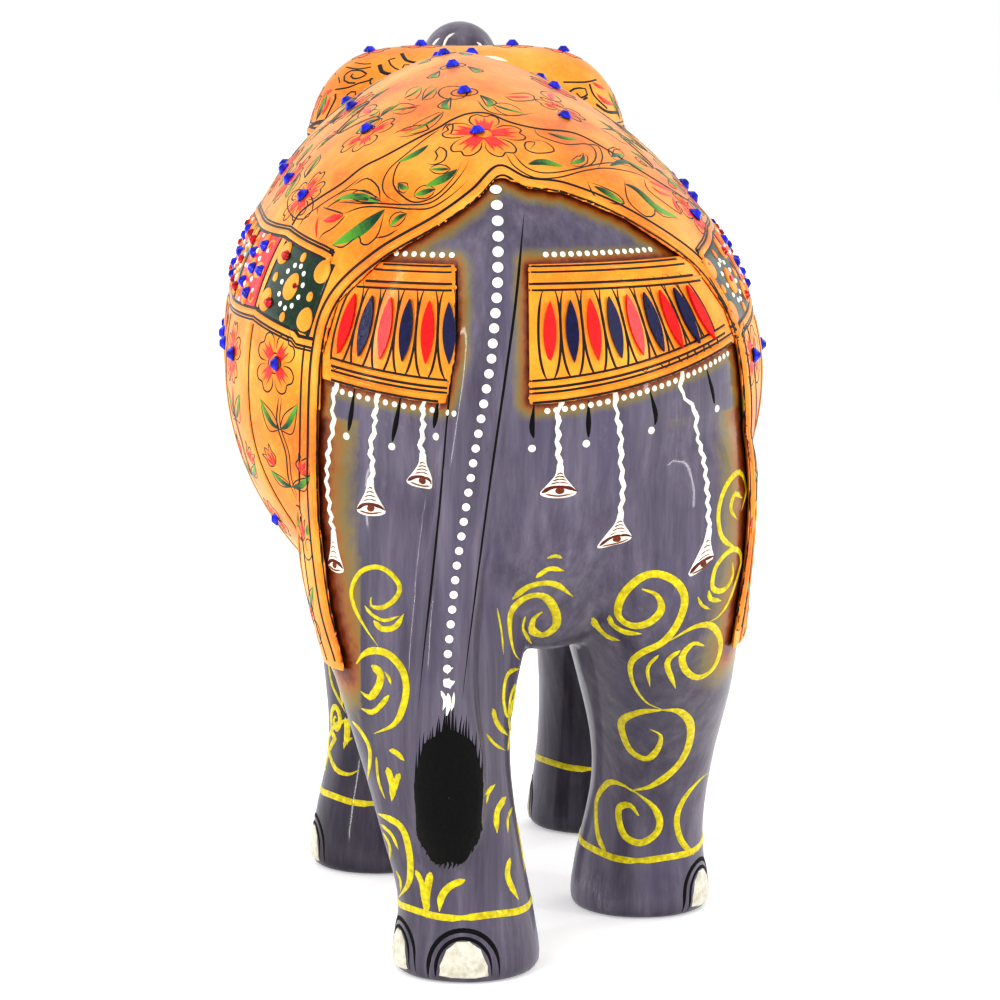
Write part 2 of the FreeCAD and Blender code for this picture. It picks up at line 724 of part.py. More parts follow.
def band_beads(wood_skin):
    """White drops on the wood over and under the rump bands."""
    over, under = [], []
    for word, side in SIDES.items():
        start, pitch = BEAD_START_X[word], BEAD_PITCH[word]
        for spot, normal in row(wood_skin, start, over_band, pitch, BEADS_OVER[word], side):
            over.append(drop(spot, normal, BEAD_R))
        for spot, normal in row(wood_skin, start, under_band, pitch, BEADS_UNDER[word], side):
            under.append(drop(spot, normal, BEAD_R))
    return gather(over), gather(under)


def tail_drops(wood_skin):
    """White drops down the tail, smaller towards its end."""
    top, last = TAIL_DROP_Z
    count = round((top - last) / TAIL_DROP_PITCH) + 1
    drops = []
    for k in range(count):
        share = k / (count - 1)
        z = top + (last - top) * share
        radius = TAIL_DROP_R[0] + (TAIL_DROP_R[1] - TAIL_DROP_R[0]) * min(1.0, 2 * share)
        drops.append(drop(*wood_skin.behind(tail_middle(z), z), radius))
    return gather(drops)


def tail_middle(z):
    """The middle line of the tail at height z, straight between the rings."""
    for upper, lower in zip(TAIL, TAIL[1:]):
        if lower[0] <= z <= upper[0]:
            share = (upper[0] - z) / (upper[0] - lower[0])
            return upper[1] + share * (lower[1] - upper[1])
    return TAIL[-1][1]


# ---------------------------------------------------------------- assembly
def build():
    nodes, wood = carve()
    cloth = saddle_cloth(wood)
    nodes["saddle_cloth"] = cloth
    nodes["rump_band_left"] = rump_band(wood, cloth, -1)
    nodes["rump_band_right"] = rump_band(wood, cloth, 1)
    nodes["head_cloth"] = head_cloth(wood, [nodes["ear_left"], nodes["ear_right"]])

    nodes["blue_stones_saddle"], nodes["red_stones_saddle"] = saddle_stones(Skin(cloth))
    cap = Skin(nodes["head_cloth"])
    cap_seats = [cap.hit(Vector(x, y, 260.0), Z_AXIS * -1) for x, y in CAP_STONES]
    nodes["blue_stones_head"] = gather([stone(spot, normal) for spot, normal in cap_seats])
    bands = {word: Skin(nodes["rump_band_" + word]) for word in SIDES}
    nodes["petals_red"], nodes["petals_blue"] = band_petals(bands)
    wood_skin = Skin(wood)
    nodes["bead_drops"], nodes["band_drops"] = band_beads(wood_skin)
    nodes["tail_drops"] = tail_drops(wood_skin)
    return nodes


def main():
    nodes = build()
    box = FreeCAD.BoundBox()
    for shape in nodes.values():
        box.add(shape.optimalBoundingBox(False, False))
    shift = Vector(-box.Center.x, -box.Center.y, -box.ZMin)
    os.makedirs("parts", exist_ok=True)
    for name, shape in nodes.items():
        shape.translate(shift)
        shape.exportStep(f"parts/{name}.step")
        print(name, shape.ShapeType, len(shape.Solids), round(shape.Volume, 1), shape.isValid())
    print("moved by", shift, "overall", box.XLength, box.YLength, box.ZLength)


main()
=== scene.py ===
import math
import random

import bpy
import numpy as np
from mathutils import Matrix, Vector, noise
from mathutils.bvhtree import BVHTree


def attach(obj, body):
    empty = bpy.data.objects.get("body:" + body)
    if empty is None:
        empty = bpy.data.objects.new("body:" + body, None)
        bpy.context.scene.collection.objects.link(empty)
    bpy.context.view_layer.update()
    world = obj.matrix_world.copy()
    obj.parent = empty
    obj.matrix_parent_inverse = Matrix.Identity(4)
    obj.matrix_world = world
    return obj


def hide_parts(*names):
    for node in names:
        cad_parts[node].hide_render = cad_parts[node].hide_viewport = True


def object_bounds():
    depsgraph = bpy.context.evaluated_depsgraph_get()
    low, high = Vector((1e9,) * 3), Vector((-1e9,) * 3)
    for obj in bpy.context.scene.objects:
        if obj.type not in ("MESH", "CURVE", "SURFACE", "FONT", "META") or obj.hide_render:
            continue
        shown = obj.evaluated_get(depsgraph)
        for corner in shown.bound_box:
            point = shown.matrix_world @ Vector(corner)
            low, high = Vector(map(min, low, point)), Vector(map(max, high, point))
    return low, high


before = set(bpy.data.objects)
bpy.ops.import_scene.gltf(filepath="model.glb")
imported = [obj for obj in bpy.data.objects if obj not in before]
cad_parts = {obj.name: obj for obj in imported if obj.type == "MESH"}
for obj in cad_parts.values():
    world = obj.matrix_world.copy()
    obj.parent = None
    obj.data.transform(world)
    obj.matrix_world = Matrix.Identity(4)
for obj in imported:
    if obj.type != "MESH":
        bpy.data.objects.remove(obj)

# The looks of the carved and painted elephant.  The frame gives its solids; here the wood gets softer
# creases and brushed paint, the gilded paste its mouldings and flowers, and every stroke of the brush is
# a thin raised ribbon of paint that follows the surface.  Lengths in this file are millimetres, turned
# into metres when a mesh is made; the elephant faces +Y and its right side is +X.

MM = 0.001
CAD_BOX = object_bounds()
SEED = 7
random.seed(SEED)

EYE = Vector((-74.8, -1022.5, 250.0))        # the viewpoint, behind the elephant and a little above it
LOOK = Vector((0.0776, 0.9859, -0.1485))
LENS = 142.56
REAR_Y = CAD_BOX[0].y / MM + 3.5             # the upright plane at the rump that holds rear drawings


# ---------------------------------------------------------------- meshes
def mesh_object(name, verts, faces, tones=None):
    """A mesh from points in millimetres; tones is one number a point, kept as attribute "tone"."""
    mesh = bpy.data.meshes.new(name)
    mesh.from_pydata([Vector(v) * MM for v in verts], [], faces)
    mesh.polygons.foreach_set("use_smooth", [True] * len(mesh.polygons))
    if tones is not None:
        layer = mesh.attributes.new("tone", "FLOAT", "POINT")
        layer.data.foreach_set("value", np.array(tones, np.float32))
    mesh.update()
    made = bpy.data.objects.new(name, mesh)
    bpy.context.scene.collection.objects.link(made)
    return made


def copy_of(nodes, name):
    """One new object with the meshes of these CAD nodes."""
    verts, faces = [], []
    for node in nodes:
        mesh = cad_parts[node].data
        start = len(verts)
        verts += [v.co / MM for v in mesh.vertices]
        faces += [[start + i for i in p.vertices] for p in mesh.polygons]
    return mesh_object(name, verts, faces)


def bake_modifiers(piece):
    graph = bpy.context.evaluated_depsgraph_get()
    mesh = bpy.data.meshes.new_from_object(piece.evaluated_get(graph))
    piece.modifiers.clear()
    piece.data = mesh
    mesh.polygons.foreach_set("use_smooth", [True] * len(mesh.polygons))
    return piece


def remeshed(piece, voxel, rounds):
    """The same shape on an even grid of faces, with its creases smoothed."""
    grid = piece.modifiers.new("grid", "REMESH")
    grid.mode = "VOXEL"
    grid.voxel_size = voxel * MM
    soft = piece.modifiers.new("soft", "SMOOTH")
    soft.factor = 0.5
    soft.iterations = rounds
    return bake_modifiers(piece)


def finish_piece(piece, material, slot, *replaced):
    piece.data.materials.clear()
    piece.data.materials.append(material)
    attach(piece, "root")
    if replaced:
        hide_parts(*replaced)
    return piece


# ---------------------------------------------------------------- surfaces to draw on
class Skin:
    """The outside of some objects, in millimetres, to lay paint and paste on."""

    def __init__(self, *objects):
        verts, faces = [], []
        for item in objects:
            start = len(verts)
            verts += [v.co / MM for v in item.data.vertices]
            faces += [[start + i for i in p.vertices] for p in item.data.polygons]
        self.tree = BVHTree.FromPolygons(verts, faces)

    def ray(self, start, direction):
        spot, normal, _, _ = self.tree.ray_cast(Vector(start), Vector(direction))
        if spot is None:
            return None
        return spot, normal

    def settle(self, near):
        spot, normal, _, _ = self.tree.find_nearest(near)
        return spot, normal


# A view turns two numbers, in millimetres, into the ray that looks for the surface.
def from_behind(x, z):
    """Seen from the viewpoint: x and z where the line of sight crosses the plane at the rump."""
    return EYE, (Vector((x, REAR_Y, z)) - EYE).normalized()


def from_side(side):
    return lambda y, z: (Vector((side * 300.0, y, z)), Vector((-side, 0, 0)))


def from_above(x, y):
    return Vector((x, y, 400.0)), Vector((0, 0, -1))


def from_front(x, z):
    return Vector((x, 400.0, z)), Vector((0, -1, 0))


def round_leg(x, y, radius):
    """Unrolled about an upright line: distance round from the rear towards the right, and height."""
    def view(around, z):
        turn = around / radius
        out = Vector((math.sin(turn), -math.cos(turn), 0))
        return Vector((x, y, z)) + out * (radius + 6.0), -out
    return view


# ---------------------------------------------------------------- paint
class Paint:
    """Collects strokes and patches of one material, and becomes one object."""

    def __init__(self, name, breadth=1.0):
        self.name, self.breadth = name, breadth
        self.verts, self.faces, self.tones = [], [], []

    def grid(self, rows, tones, closed=False):
        """Adds rows of points joined into a strip of quads."""
        start, wide = len(self.verts), len(rows[0])
        for row, tone in zip(rows, tones):
            self.verts += row
            self.tones += tone
        last = len(rows) if closed else len(rows) - 1
        for i in range(last):
            a, b = start + i * wide, start + ((i + 1) % len(rows)) * wide
            for k in range(wide - 1):
                self.faces.append((a + k, a + k + 1, b + k + 1, b + k))

    def build(self, material, slot):
        if not self.verts:
            return None
        piece = mesh_object(self.name, self.verts, self.faces, self.tones)
        return finish_piece(piece, material, slot)


def smooth_line(points, step=1.0, closed=False):
    """A Catmull-Rom curve through points, sampled about every step."""
    pts = [Vector(p) for p in points]
    if len(pts) == 2 and not closed:
        count = max(2, int((pts[1] - pts[0]).length / step) + 1)
        return [pts[0].lerp(pts[1], k / (count - 1)) for k in range(count)]
    out = []
    total = len(pts) if closed else len(pts) - 1
    for i in range(total):
        if closed:
            a, b, c, d = (pts[(i + k) % len(pts)] for k in (-1, 0, 1, 2))
        else:
            b, c = pts[i], pts[i + 1]
            a = pts[i - 1] if i > 0 else b * 2 - c
            d = pts[i + 2] if i + 2 < len(pts) else c * 2 - b
        count = max(1, round((c - b).length / step))
        for k in range(count):
            t = k / count
            out.append(0.5 * (b * 2 + (c - a) * t + (a * 2 - b * 5 + c * 4 - d) * t * t
                              + (b * 3 - a - c * 3 + d) * t * t * t))
    if not closed:
        out.append(pts[-1])
    return out


def lens_profile(t):
    """Full in the middle, pointed at both ends."""
    return math.sin(math.pi * min(max(t, 0.0), 1.0)) ** 0.8


def brush_profile(t):
    """A brush stroke: quick swell, long even middle, tapered tail."""
    return min(1.0, (t * 7 + 0.25), (1 - t) * 3.5 + 0.12)


def even_profile(t):
    return 1.0


CROSS = (-1.0, -0.62, 0.0, 0.62, 1.0)        # places across a ribbon
ROUND_TOP = (0.0, 0.75, 1.0, 0.75, 0.0)      # its height there
SUNK = 0.05                                  # how far the rim of a ribbon dips into the surface
JUMP = 6.0                                   # a line is lifted where its next spot is further off than this


def ribbon(paint, skin, spots, width, height=0.14, profile=brush_profile, closed=False, tone=None):
    """A raised ribbon along spots, pairs of point and normal on the skin."""
    count = len(spots)
    rows, tones = [], []
    for i, (spot, normal) in enumerate(spots):
        before = spots[(i - 1) % count if closed else max(i - 1, 0)][0]
        after = spots[(i + 1) % count if closed else min(i + 1, count - 1)][0]
        along = (after - before)
        if along.length < 1e-6:
            along = Vector((0, 0, 1))
        across = normal.cross(along.normalized()).normalized()
        share = i / max(count - 1, 1)
        half = max(0.04, width * paint.breadth / 2 * profile(share))
        row, shade = [], []
        for place, rise in zip(CROSS, ROUND_TOP):
            point = spot + across * (place * half)
            near, out = skin.settle(point)
            row.append(near + out * (rise * height * min(1.0, half * 2.2) - SUNK * (1 - rise)))
            shade.append(share if tone is None else tone)
        rows.append(row)
        tones.append(shade)
    paint.grid(rows, tones, closed)


def project(skin, view, flat):
    """Spots on the skin under points given in a view; points that miss it are left out."""
    found = [skin.ray(*view(p[0], p[1])) for p in flat]
    return [f for f in found if f is not None]


def runs(spots, jump):
    """The same spots split wherever one lies further than jump from the last."""
    parts = [[]]
    for spot in spots:
        if parts[-1] and (spot[0] - parts[-1][-1][0]).length > jump:
            parts.append([])
        parts[-1].append(spot)
    return [part for part in parts if len(part) > 2]


def stroke(paint, skin, view, points, width, height=0.14, profile=brush_profile, closed=False, tone=None,
           step=1.0):
    flat = smooth_line([(p[0], p[1], 0.0) for p in points], step, closed)
    parts = runs(project(skin, view, flat), JUMP)
    for spots in parts:
        ribbon(paint, skin, spots, width, height, profile, closed and len(parts) == 1, tone)


class Seat:
    """A place on a skin with its own two directions, across and up, lying in the surface."""

    def __init__(self, skin, spot, normal, up, turn=0.0):
        self.skin, self.spot, self.normal = skin, spot, normal
        up = (up - normal * up.dot(normal)).normalized()
        across = up.cross(normal).normalized()
        angle = math.radians(turn)
        self.up = up * math.cos(angle) + across * math.sin(angle)
        self.across = across * math.cos(angle) - up * math.sin(angle)

    def at(self, x, y, lift=0.0):
        near, out = self.skin.settle(self.spot + self.across * x + self.up * y)
        return near + out * lift

    def spots(self, points, step=0.7, closed=False):
        flat = smooth_line([(p[0], p[1], 0.0) for p in points], step, closed)
        return [self.skin.settle(self.spot + self.across * p[0] + self.up * p[1]) for p in flat]

    def line(self, paint, points, width, height=0.14, profile=brush_profile, closed=False, tone=None,
             step=0.7):
        ribbon(paint, self.skin, self.spots(points, step, closed), width, height, profile, closed, tone)

    def patch(self, paint, outline, height=0.14, rings=(0.0, 0.4, 0.75, 0.93, 1.0), crown=0.3, centre=(0, 0),
              tones=(0.0, 1.0)):
        """A filled shape that is star-shaped about its centre; tone runs from the middle to the rim."""
        cx, cy = centre
        rows, shades = [], []
        for ring in rings:
            if ring >= 1.0:
                lift = -SUNK
            else:
                lift = height * (1 - crown * ring * ring)
            row = [self.at(cx + (p[0] - cx) * max(ring, 0.01), cy + (p[1] - cy) * max(ring, 0.01), lift)
                   for p in outline]
            rows.append(row + [row[0]])
            shade = tones[0] + (tones[1] - tones[0]) * ring
            shades.append([shade] * (len(row) + 1))
        paint.grid(rows, shades)

    def dome(self, paint, x, y, across, up, height, turn=0.0, tone=0.0, count=14):
        """A round or oval raised dot."""
        angle = math.radians(turn)
        rows, shades = [], []
        for ring in (0.02, 0.45, 0.8, 0.96, 1.05):
            lift = height * math.sqrt(max(0.0, 1 - ring * ring)) - (SUNK if ring > 1 else 0.0)
            row = []
            for k in range(count):
                a = 2 * math.pi * k / count
                px, py = across * ring * math.cos(a), up * ring * math.sin(a)
                row.append(self.at(x + px * math.cos(angle) - py * math.sin(angle),
                                   y + px * math.sin(angle) + py * math.cos(angle), lift))
            rows.append(row + [row[0]])
            shades.append([tone] * (count + 1))
        paint.grid(rows, shades)


def seat_in(skin, view, u, v, up=(0, 0, 1), turn=0.0):
    hit = skin.ray(*view(u, v))
    if hit is None:
        return None
    return Seat(skin, hit[0], hit[1], Vector(up), turn)


def oval_outline(x, y, wide, tall, count=20):
    return [(x + wide * math.cos(2 * math.pi * k / count), y + tall * math.sin(2 * math.pi * k / count))
            for k in range(count)]


def spiral(x, y, radius, turns, start=0.0, inner=0.12, lean=1.0, step=22):
    """Points of a spiral that closes in on x, y, from the outside; lean -1 turns it the other way."""
    count = int(turns * 360 / step)
    points = []
    for k in range(count + 1):
        share = k / count
        a = math.radians(start) + lean * 2 * math.pi * turns * share
        r = radius * (1 - share * (1 - inner))
        points.append((x + r * math.cos(a), y + r * math.sin(a)))
    return points


# ---------------------------------------------------------------- materials
def srgb(red, green, blue):
    """A colour given as it is seen, 0 to 255 a channel, as the shader needs it."""
    def linear(value):
        value = value / 255
        return value / 12.92 if value <= 0.04045 else ((value + 0.055) / 1.055) ** 2.4
    return (linear(red), linear(green), linear(blue), 1.0)


class Shader:
    """Short names for the node calls that every material makes."""

    def __init__(self, name, roughness, coat=0.0, coat_roughness=0.05, metallic=0.0):
        self.material = bpy.data.materials.new(name)
        self.material.use_nodes = True
        self.tree = self.material.node_tree
        self.surface = self.tree.nodes["Principled BSDF"]
        self.put("Roughness", roughness)
        self.put("Specular IOR Level", 0.22)
        self.put("Coat Weight", coat * 0.4)
        self.put("Coat Roughness", coat_roughness)
        self.put("Metallic", metallic)
        self.place = self.tree.nodes.new("ShaderNodeTexCoord").outputs["Object"]

    def put(self, socket, value):
        self.surface.inputs[socket].default_value = value

    def link(self, source, target):
        self.tree.links.new(source, target)

    def stretched(self, scale):
        node = self.tree.nodes.new("ShaderNodeMapping")
        node.inputs["Scale"].default_value = scale
        self.link(self.place, node.inputs["Vector"])
        return node.outputs["Vector"]

    def noise(self, scale, detail=4.0, rough=0.55, stretch=None):
        node = self.tree.nodes.new("ShaderNodeTexNoise")
        node.inputs["Scale"].default_value = scale
        node.inputs["Detail"].default_value = detail
        node.inputs["Roughness"].default_value = rough
        self.link(self.stretched(stretch) if stretch else self.place, node.inputs["Vector"])
        return node.outputs["Fac"]

    def attribute(self, name):
        node = self.tree.nodes.new("ShaderNodeAttribute")
        node.attribute_name = name
        return node.outputs["Fac"]

    def ramp(self, factor, stops):
        node = self.tree.nodes.new("ShaderNodeValToRGB")
        bands = node.color_ramp.elements
        while len(bands) < len(stops):
            bands.new(0.5)
        for band, (at, colour) in zip(bands, stops):
            band.position = at
            band.color = colour
        self.link(factor, node.inputs["Fac"])
        return node.outputs["Color"]

    def grey(self, low, high):
        """Stops of a plain ramp from black at low to white at high."""
        return [(low, (0, 0, 0, 1)), (high, (1, 1, 1, 1))]

    def mix(self, factor, one, two):
        node = self.tree.nodes.new("ShaderNodeMix")
        node.data_type = "RGBA"
        for value, socket in ((factor, node.inputs[0]), (one, node.inputs[6]), (two, node.inputs[7])):
            if isinstance(value, (int, float, tuple)):
                socket.default_value = value
            else:
                self.link(value, socket)
        return node.outputs[2]

    def math(self, operation, one, two):
        node = self.tree.nodes.new("ShaderNodeMath")
        node.operation = operation
        for value, socket in ((one, node.inputs[0]), (two, node.inputs[1])):
            if isinstance(value, (int, float)):
                socket.default_value = value
            else:
                self.link(value, socket)
        return node.outputs[0]

    def colour(self, source):
        self.link(source, self.surface.inputs["Base Color"])

    def roughen(self, factor, low, high):
        node = self.tree.nodes.new("ShaderNodeMapRange")
        node.inputs["To Min"].default_value = low
        node.inputs["To Max"].default_value = high
        self.link(factor, node.inputs["Value"])
        self.link(node.outputs["Result"], self.surface.inputs["Roughness"])

    def bump(self, height, strength, distance=0.0004):
        node = self.tree.nodes.new("ShaderNodeBump")
        node.inputs["Strength"].default_value = strength
        node.inputs["Distance"].default_value = distance
        self.link(height, node.inputs["Height"])
        self.link(node.outputs["Normal"], self.surface.inputs["Normal"])


def grey_paint(name):
    """Grey-violet paint with long brush streaks and smudges, darkened with painted shade low on the legs and
    between and under them, and an airbrushed brown and olive halo beside the gilded paste, under gloss
    varnish."""
    s = Shader(name, 0.42, coat=0.9, coat_roughness=0.07)
    streaks = s.noise(260, 6, 0.65, (1.0, 1.0, 0.07))
    broad = s.noise(60, 5, 0.6, (1.0, 1.0, 0.25))
    blots = s.noise(42, 6, 0.7)
    flecks = s.noise(900, 3, 0.6, (1.0, 1.0, 0.25))
    base = s.ramp(streaks, [(0.30, srgb(73, 66, 84)), (0.5, srgb(93, 86, 103)), (0.72, srgb(115, 108, 123))])
    base = s.mix(s.ramp(broad, s.grey(0.50, 0.78)), base, srgb(86, 78, 104))
    pale = s.math("MULTIPLY", s.ramp(blots, s.grey(0.60, 0.74)), s.ramp(flecks, s.grey(0.45, 0.62)))
    base = s.mix(s.math("MULTIPLY", pale, 0.5), base, srgb(150, 143, 158))
    dark = s.ramp(s.noise(75, 5, 0.7, (1.0, 1.0, 0.5)), s.grey(0.60, 0.75))
    base = s.mix(s.math("MULTIPLY", dark, 0.35), base, srgb(64, 55, 78))
    # Painted shade: the 'shade' attribute, broken by the streaks, darkens the grey towards near black low on
    # the legs and between and under them
    streaky = s.ramp(streaks, [(0.3, (1, 1, 1, 1)), (0.7, (.72, .72, .72, 1))])
    shade = s.math("MULTIPLY", s.attribute("shade"), streaky)
    base = s.mix(shade, base, srgb(27, 19, 32))
    halo = s.attribute("halo")
    wobble = s.math("ADD", halo, s.math("MULTIPLY", s.math("SUBTRACT", s.noise(420, 3, 0.6), 0.5), 0.35))
    tint = s.ramp(wobble, [(0.0, srgb(60, 16, 4)), (0.14, srgb(120, 52, 10)), (0.30, srgb(150, 96, 20)),
                           (0.55, srgb(140, 122, 34)), (1.0, srgb(112, 106, 92))])
    cover = s.ramp(wobble, [(0.0, (1, 1, 1, 1)), (0.35, (.9, .9, .9, 1)), (0.62, (.5, .5, .5, 1)),
                            (0.9, (0, 0, 0, 1))])
    s.colour(s.mix(cover, base, tint))
    s.roughen(broad, 0.30, 0.50)
    s.bump(streaks, 0.25, 0.0003)
    return s.material


def gold_paint(name, light, mid, deep):
    """Gold-orange paint over hand-laid chalk paste: slightly uneven, paler on the high spots."""
    s = Shader(name, 0.38, coat=0.45, coat_roughness=0.12, metallic=0.15)
    broad = s.noise(45, 4, 0.6)
    fine = s.noise(700, 5, 0.65)
    grain = s.noise(1900, 2, 0.5)
    base = s.ramp(broad, [(0.32, deep), (0.52, mid), (0.72, light)])
    base = s.mix(s.math("MULTIPLY", s.ramp(fine, s.grey(0.52, 0.74)), 0.45), base, light)
    base = s.mix(s.math("MULTIPLY", s.ramp(grain, s.grey(0.60, 0.78)), 0.3), base, srgb(150, 78, 24))
    s.colour(base)
    s.roughen(fine, 0.28, 0.50)
    height = s.math("ADD", s.math("MULTIPLY", broad, 1.2), s.math("MULTIPLY", fine, 0.35))
    s.bump(height, 0.35, 0.0005)
    return s.material


def brushed_paint(name, dark, light, roughness=0.32, coat=0.6, streak=1100, bump=0.2):
    """Enamel or poster paint laid on with a small brush: two close colours in fine streaks."""
    s = Shader(name, roughness, coat=coat, coat_roughness=0.08)
    streaks = s.noise(streak, 5, 0.6)
    s.colour(s.ramp(streaks, [(0.32, dark), (0.68, light)]))
    s.roughen(streaks, roughness * 0.8, roughness * 1.3)
    s.bump(streaks, bump, 0.00025)
    return s.material


def shaded_paint(name, start, end, roughness=0.34):
    """Paint that runs from one colour to another along a stroke, with brush streaks."""
    s = Shader(name, roughness, coat=0.6, coat_roughness=0.08)
    tone = s.attribute("tone")
    streaks = s.noise(1500, 4, 0.6)
    mixed = s.math("ADD", tone, s.math("MULTIPLY", s.math("SUBTRACT", streaks, 0.5), 0.5))
    s.colour(s.ramp(mixed, [(0.25, start), (0.8, end)]))
    s.roughen(streaks, roughness * 0.8, roughness * 1.25)
    s.bump(streaks, 0.15, 0.00025)
    return s.material


def cut_glass(name, colour, deep):
    """A foiled glass stone: deep colour with painted glints, lighter in the middle of each facet and deeper
    at its edges, slightly cloudy with age.
    """
    s = Shader(name, 0.12, coat=1.0, coat_roughness=0.03, metallic=0.25)
    facet_glint_cells = s.tree.nodes.new("ShaderNodeTexVoronoi")
    facet_glint_cells.inputs["Scale"].default_value = 620
    s.link(s.place, facet_glint_cells.inputs["Vector"])
    # painted reflection: each facet is coloured lighter at its middle and deeper at its edges
    s.colour(s.ramp(facet_glint_cells.outputs["Distance"], [(0.05, colour), (0.75, deep)]))
    s.roughen(s.noise(800, 3, 0.5), 0.08, 0.22)
    s.bump(facet_glint_cells.outputs["Distance"], 0.35, 0.0004)
    return s.material


def bare_wood(name):
    s = Shader(name, 0.6)
    rings = s.noise(500, 4, 0.6, (1.0, 0.12, 1.0))
    s.colour(s.ramp(rings, [(0.35, srgb(150, 112, 70)), (0.65, srgb(190, 152, 104))]))
    s.bump(rings, 0.3, 0.0003)
    return s.material


def pale_floor(name, glow):
    """White card that also gives off a little light, so that it stays pale far from the lamps."""
    s = Shader(name, 0.55)
    s.put("Emission Color", (1, 1, 1, 1))
    s.put("Emission Strength", glow)
    speck = s.noise(30, 3, 0.5)
    s.colour(s.ramp(speck, [(0.3, srgb(238, 238, 238)), (0.7, srgb(244, 244, 244))]))
    return s.material


GREY = grey_paint("grey_paint")
GOLD = gold_paint("gold_cloth", srgb(250, 180, 74), srgb(240, 148, 42), srgb(218, 110, 26))
BAND_GOLD = gold_paint("gold_band", srgb(252, 182, 66), srgb(242, 152, 42), srgb(220, 118, 22))
HEAD_GOLD = gold_paint("gold_head", srgb(252, 190, 84), srgb(242, 158, 46), srgb(228, 128, 24))
LINE = brushed_paint("dark_line", srgb(6, 3, 2), srgb(22, 10, 5), 0.45)
BLACK = brushed_paint("black_paint", srgb(0, 0, 0), srgb(2, 2, 2), 0.7, 0.0)
YELLOW = brushed_paint("yellow_paint", srgb(176, 160, 4), srgb(226, 212, 10), 0.35, 0.6, 700, 0.35)
WHITE = brushed_paint("white_paint", srgb(222, 218, 200), srgb(248, 246, 236), 0.3, 0.7)
NAIL = brushed_paint("nail_paint", srgb(186, 182, 164), srgb(226, 222, 208), 0.4, 0.4, 500)
RED = brushed_paint("red_paint", srgb(206, 22, 14), srgb(242, 60, 44), 0.3, 0.7)
CRIMSON = brushed_paint("crimson_paint", srgb(222, 6, 26), srgb(250, 26, 46), 0.3, 0.7)
NAVY = brushed_paint("navy_paint", srgb(6, 9, 62), srgb(20, 26, 98), 0.25, 0.8)
DARK_GREEN = brushed_paint("dark_green_paint", srgb(2, 26, 14), srgb(10, 58, 34), 0.3, 0.7, 1300)
LEAF = shaded_paint("leaf_paint", srgb(4, 62, 34), srgb(92, 160, 44))
BROWN = shaded_paint("brown_shade_paint", srgb(96, 22, 2), srgb(160, 84, 10))
WHITE_ENAMEL = brushed_paint("white_enamel", srgb(232, 230, 214), srgb(252, 251, 244), 0.2, 0.8)
RED_ENAMEL = brushed_paint("red_enamel", srgb(196, 4, 8), srgb(236, 22, 22), 0.15, 1.0)
NAVY_ENAMEL = brushed_paint("navy_enamel", srgb(4, 5, 40), srgb(12, 16, 84), 0.15, 1.0)
BLUE_GLASS = cut_glass("blue_glass", srgb(40, 50, 250), srgb(4, 4, 150))
RED_GLASS = cut_glass("red_glass", srgb(236, 30, 36), srgb(120, 2, 10))
IVORY = brushed_paint("ivory_paint", srgb(232, 222, 190), srgb(248, 242, 222), 0.25, 0.7, 300)
WOOD = bare_wood("bare_wood")


# ---------------------------------------------------------------- carved wood
LEG_MIDDLES = {"left_hind": (-10.9, -107.4), "right_hind": (37.05, -50.9),
               "left_fore": (-26.9, -0.4), "right_fore": (34.1, 39.6)}
HALO_REACH = 5.0             # how far the airbrushed halo goes from the edge of the paste
HATCH_REACH = 15.0           # and behind the low rear edge of the cloth


def body_attributes(piece, paste):
    """Stores on the body how far each point is from the paste, and how much painted shade it gets low on the
    legs.
    """
    mesh = piece.data
    halo, shade = [], []
    for vertex in mesh.vertices:
        spot, out = vertex.co / MM, vertex.normal
        _, _, _, distance = paste.tree.find_nearest(spot)
        reach = HALO_REACH
        if spot.y < -62 and spot.z < 132 and abs(spot.x) > 36:
            reach = HATCH_REACH
        halo.append(min(1.0, distance / reach))
        # Painted shade: faces turned in between the legs, faces under them, the rear of the forelegs and the
        # front of the hind legs get darker, more so on the right side and more towards the ground
        inner = 0.0
        if spot.z < 92 and spot.y > -25:
            inner = max(0.0, -out.y) * (0.92 if spot.x > 0 else 0.55) + max(0.0, -out.z) * 0.5
            inner += max(0.0, -math.copysign(out.x, spot.x)) * 0.6
        elif spot.z < 96:
            inner = max(0.0, -math.copysign(out.x, spot.x)) * (0.8 if spot.x > 14 else 0.35)
            inner += max(0.0, out.y) * 0.5 + max(0.0, -out.z) * 0.6
        low = min(1.0, max(0.0, (96 - spot.z) / 26))
        shade.append(min(1.0, inner * low))
    for name, values in (("halo", halo), ("shade", shade)):
        layer = mesh.attributes.new(name, "FLOAT", "POINT")
        layer.data.foreach_set("value", np.array(values, np.float32))


def carved_body(paste):
    body = remeshed(copy_of(["body_block"], "grey_body"), 1.25, 14)
    body_attributes(body, paste)
    return finish_piece(body, GREY, "grey_body", "body_block")


def raised_trunk(paste):
    trunk = remeshed(copy_of(["raised_trunk"], "grey_trunk"), 0.8, 6)
    body_attributes(trunk, paste)
    return finish_piece(trunk, GREY, "grey_trunk", "raised_trunk")


# ---------------------------------------------------------------- gilded paste
def paste_layer(name, node, material, slot, voxel=0.8, rounds=4):
    layer = remeshed(copy_of([node], name), voxel, rounds)
    return finish_piece(layer, material, slot, node)


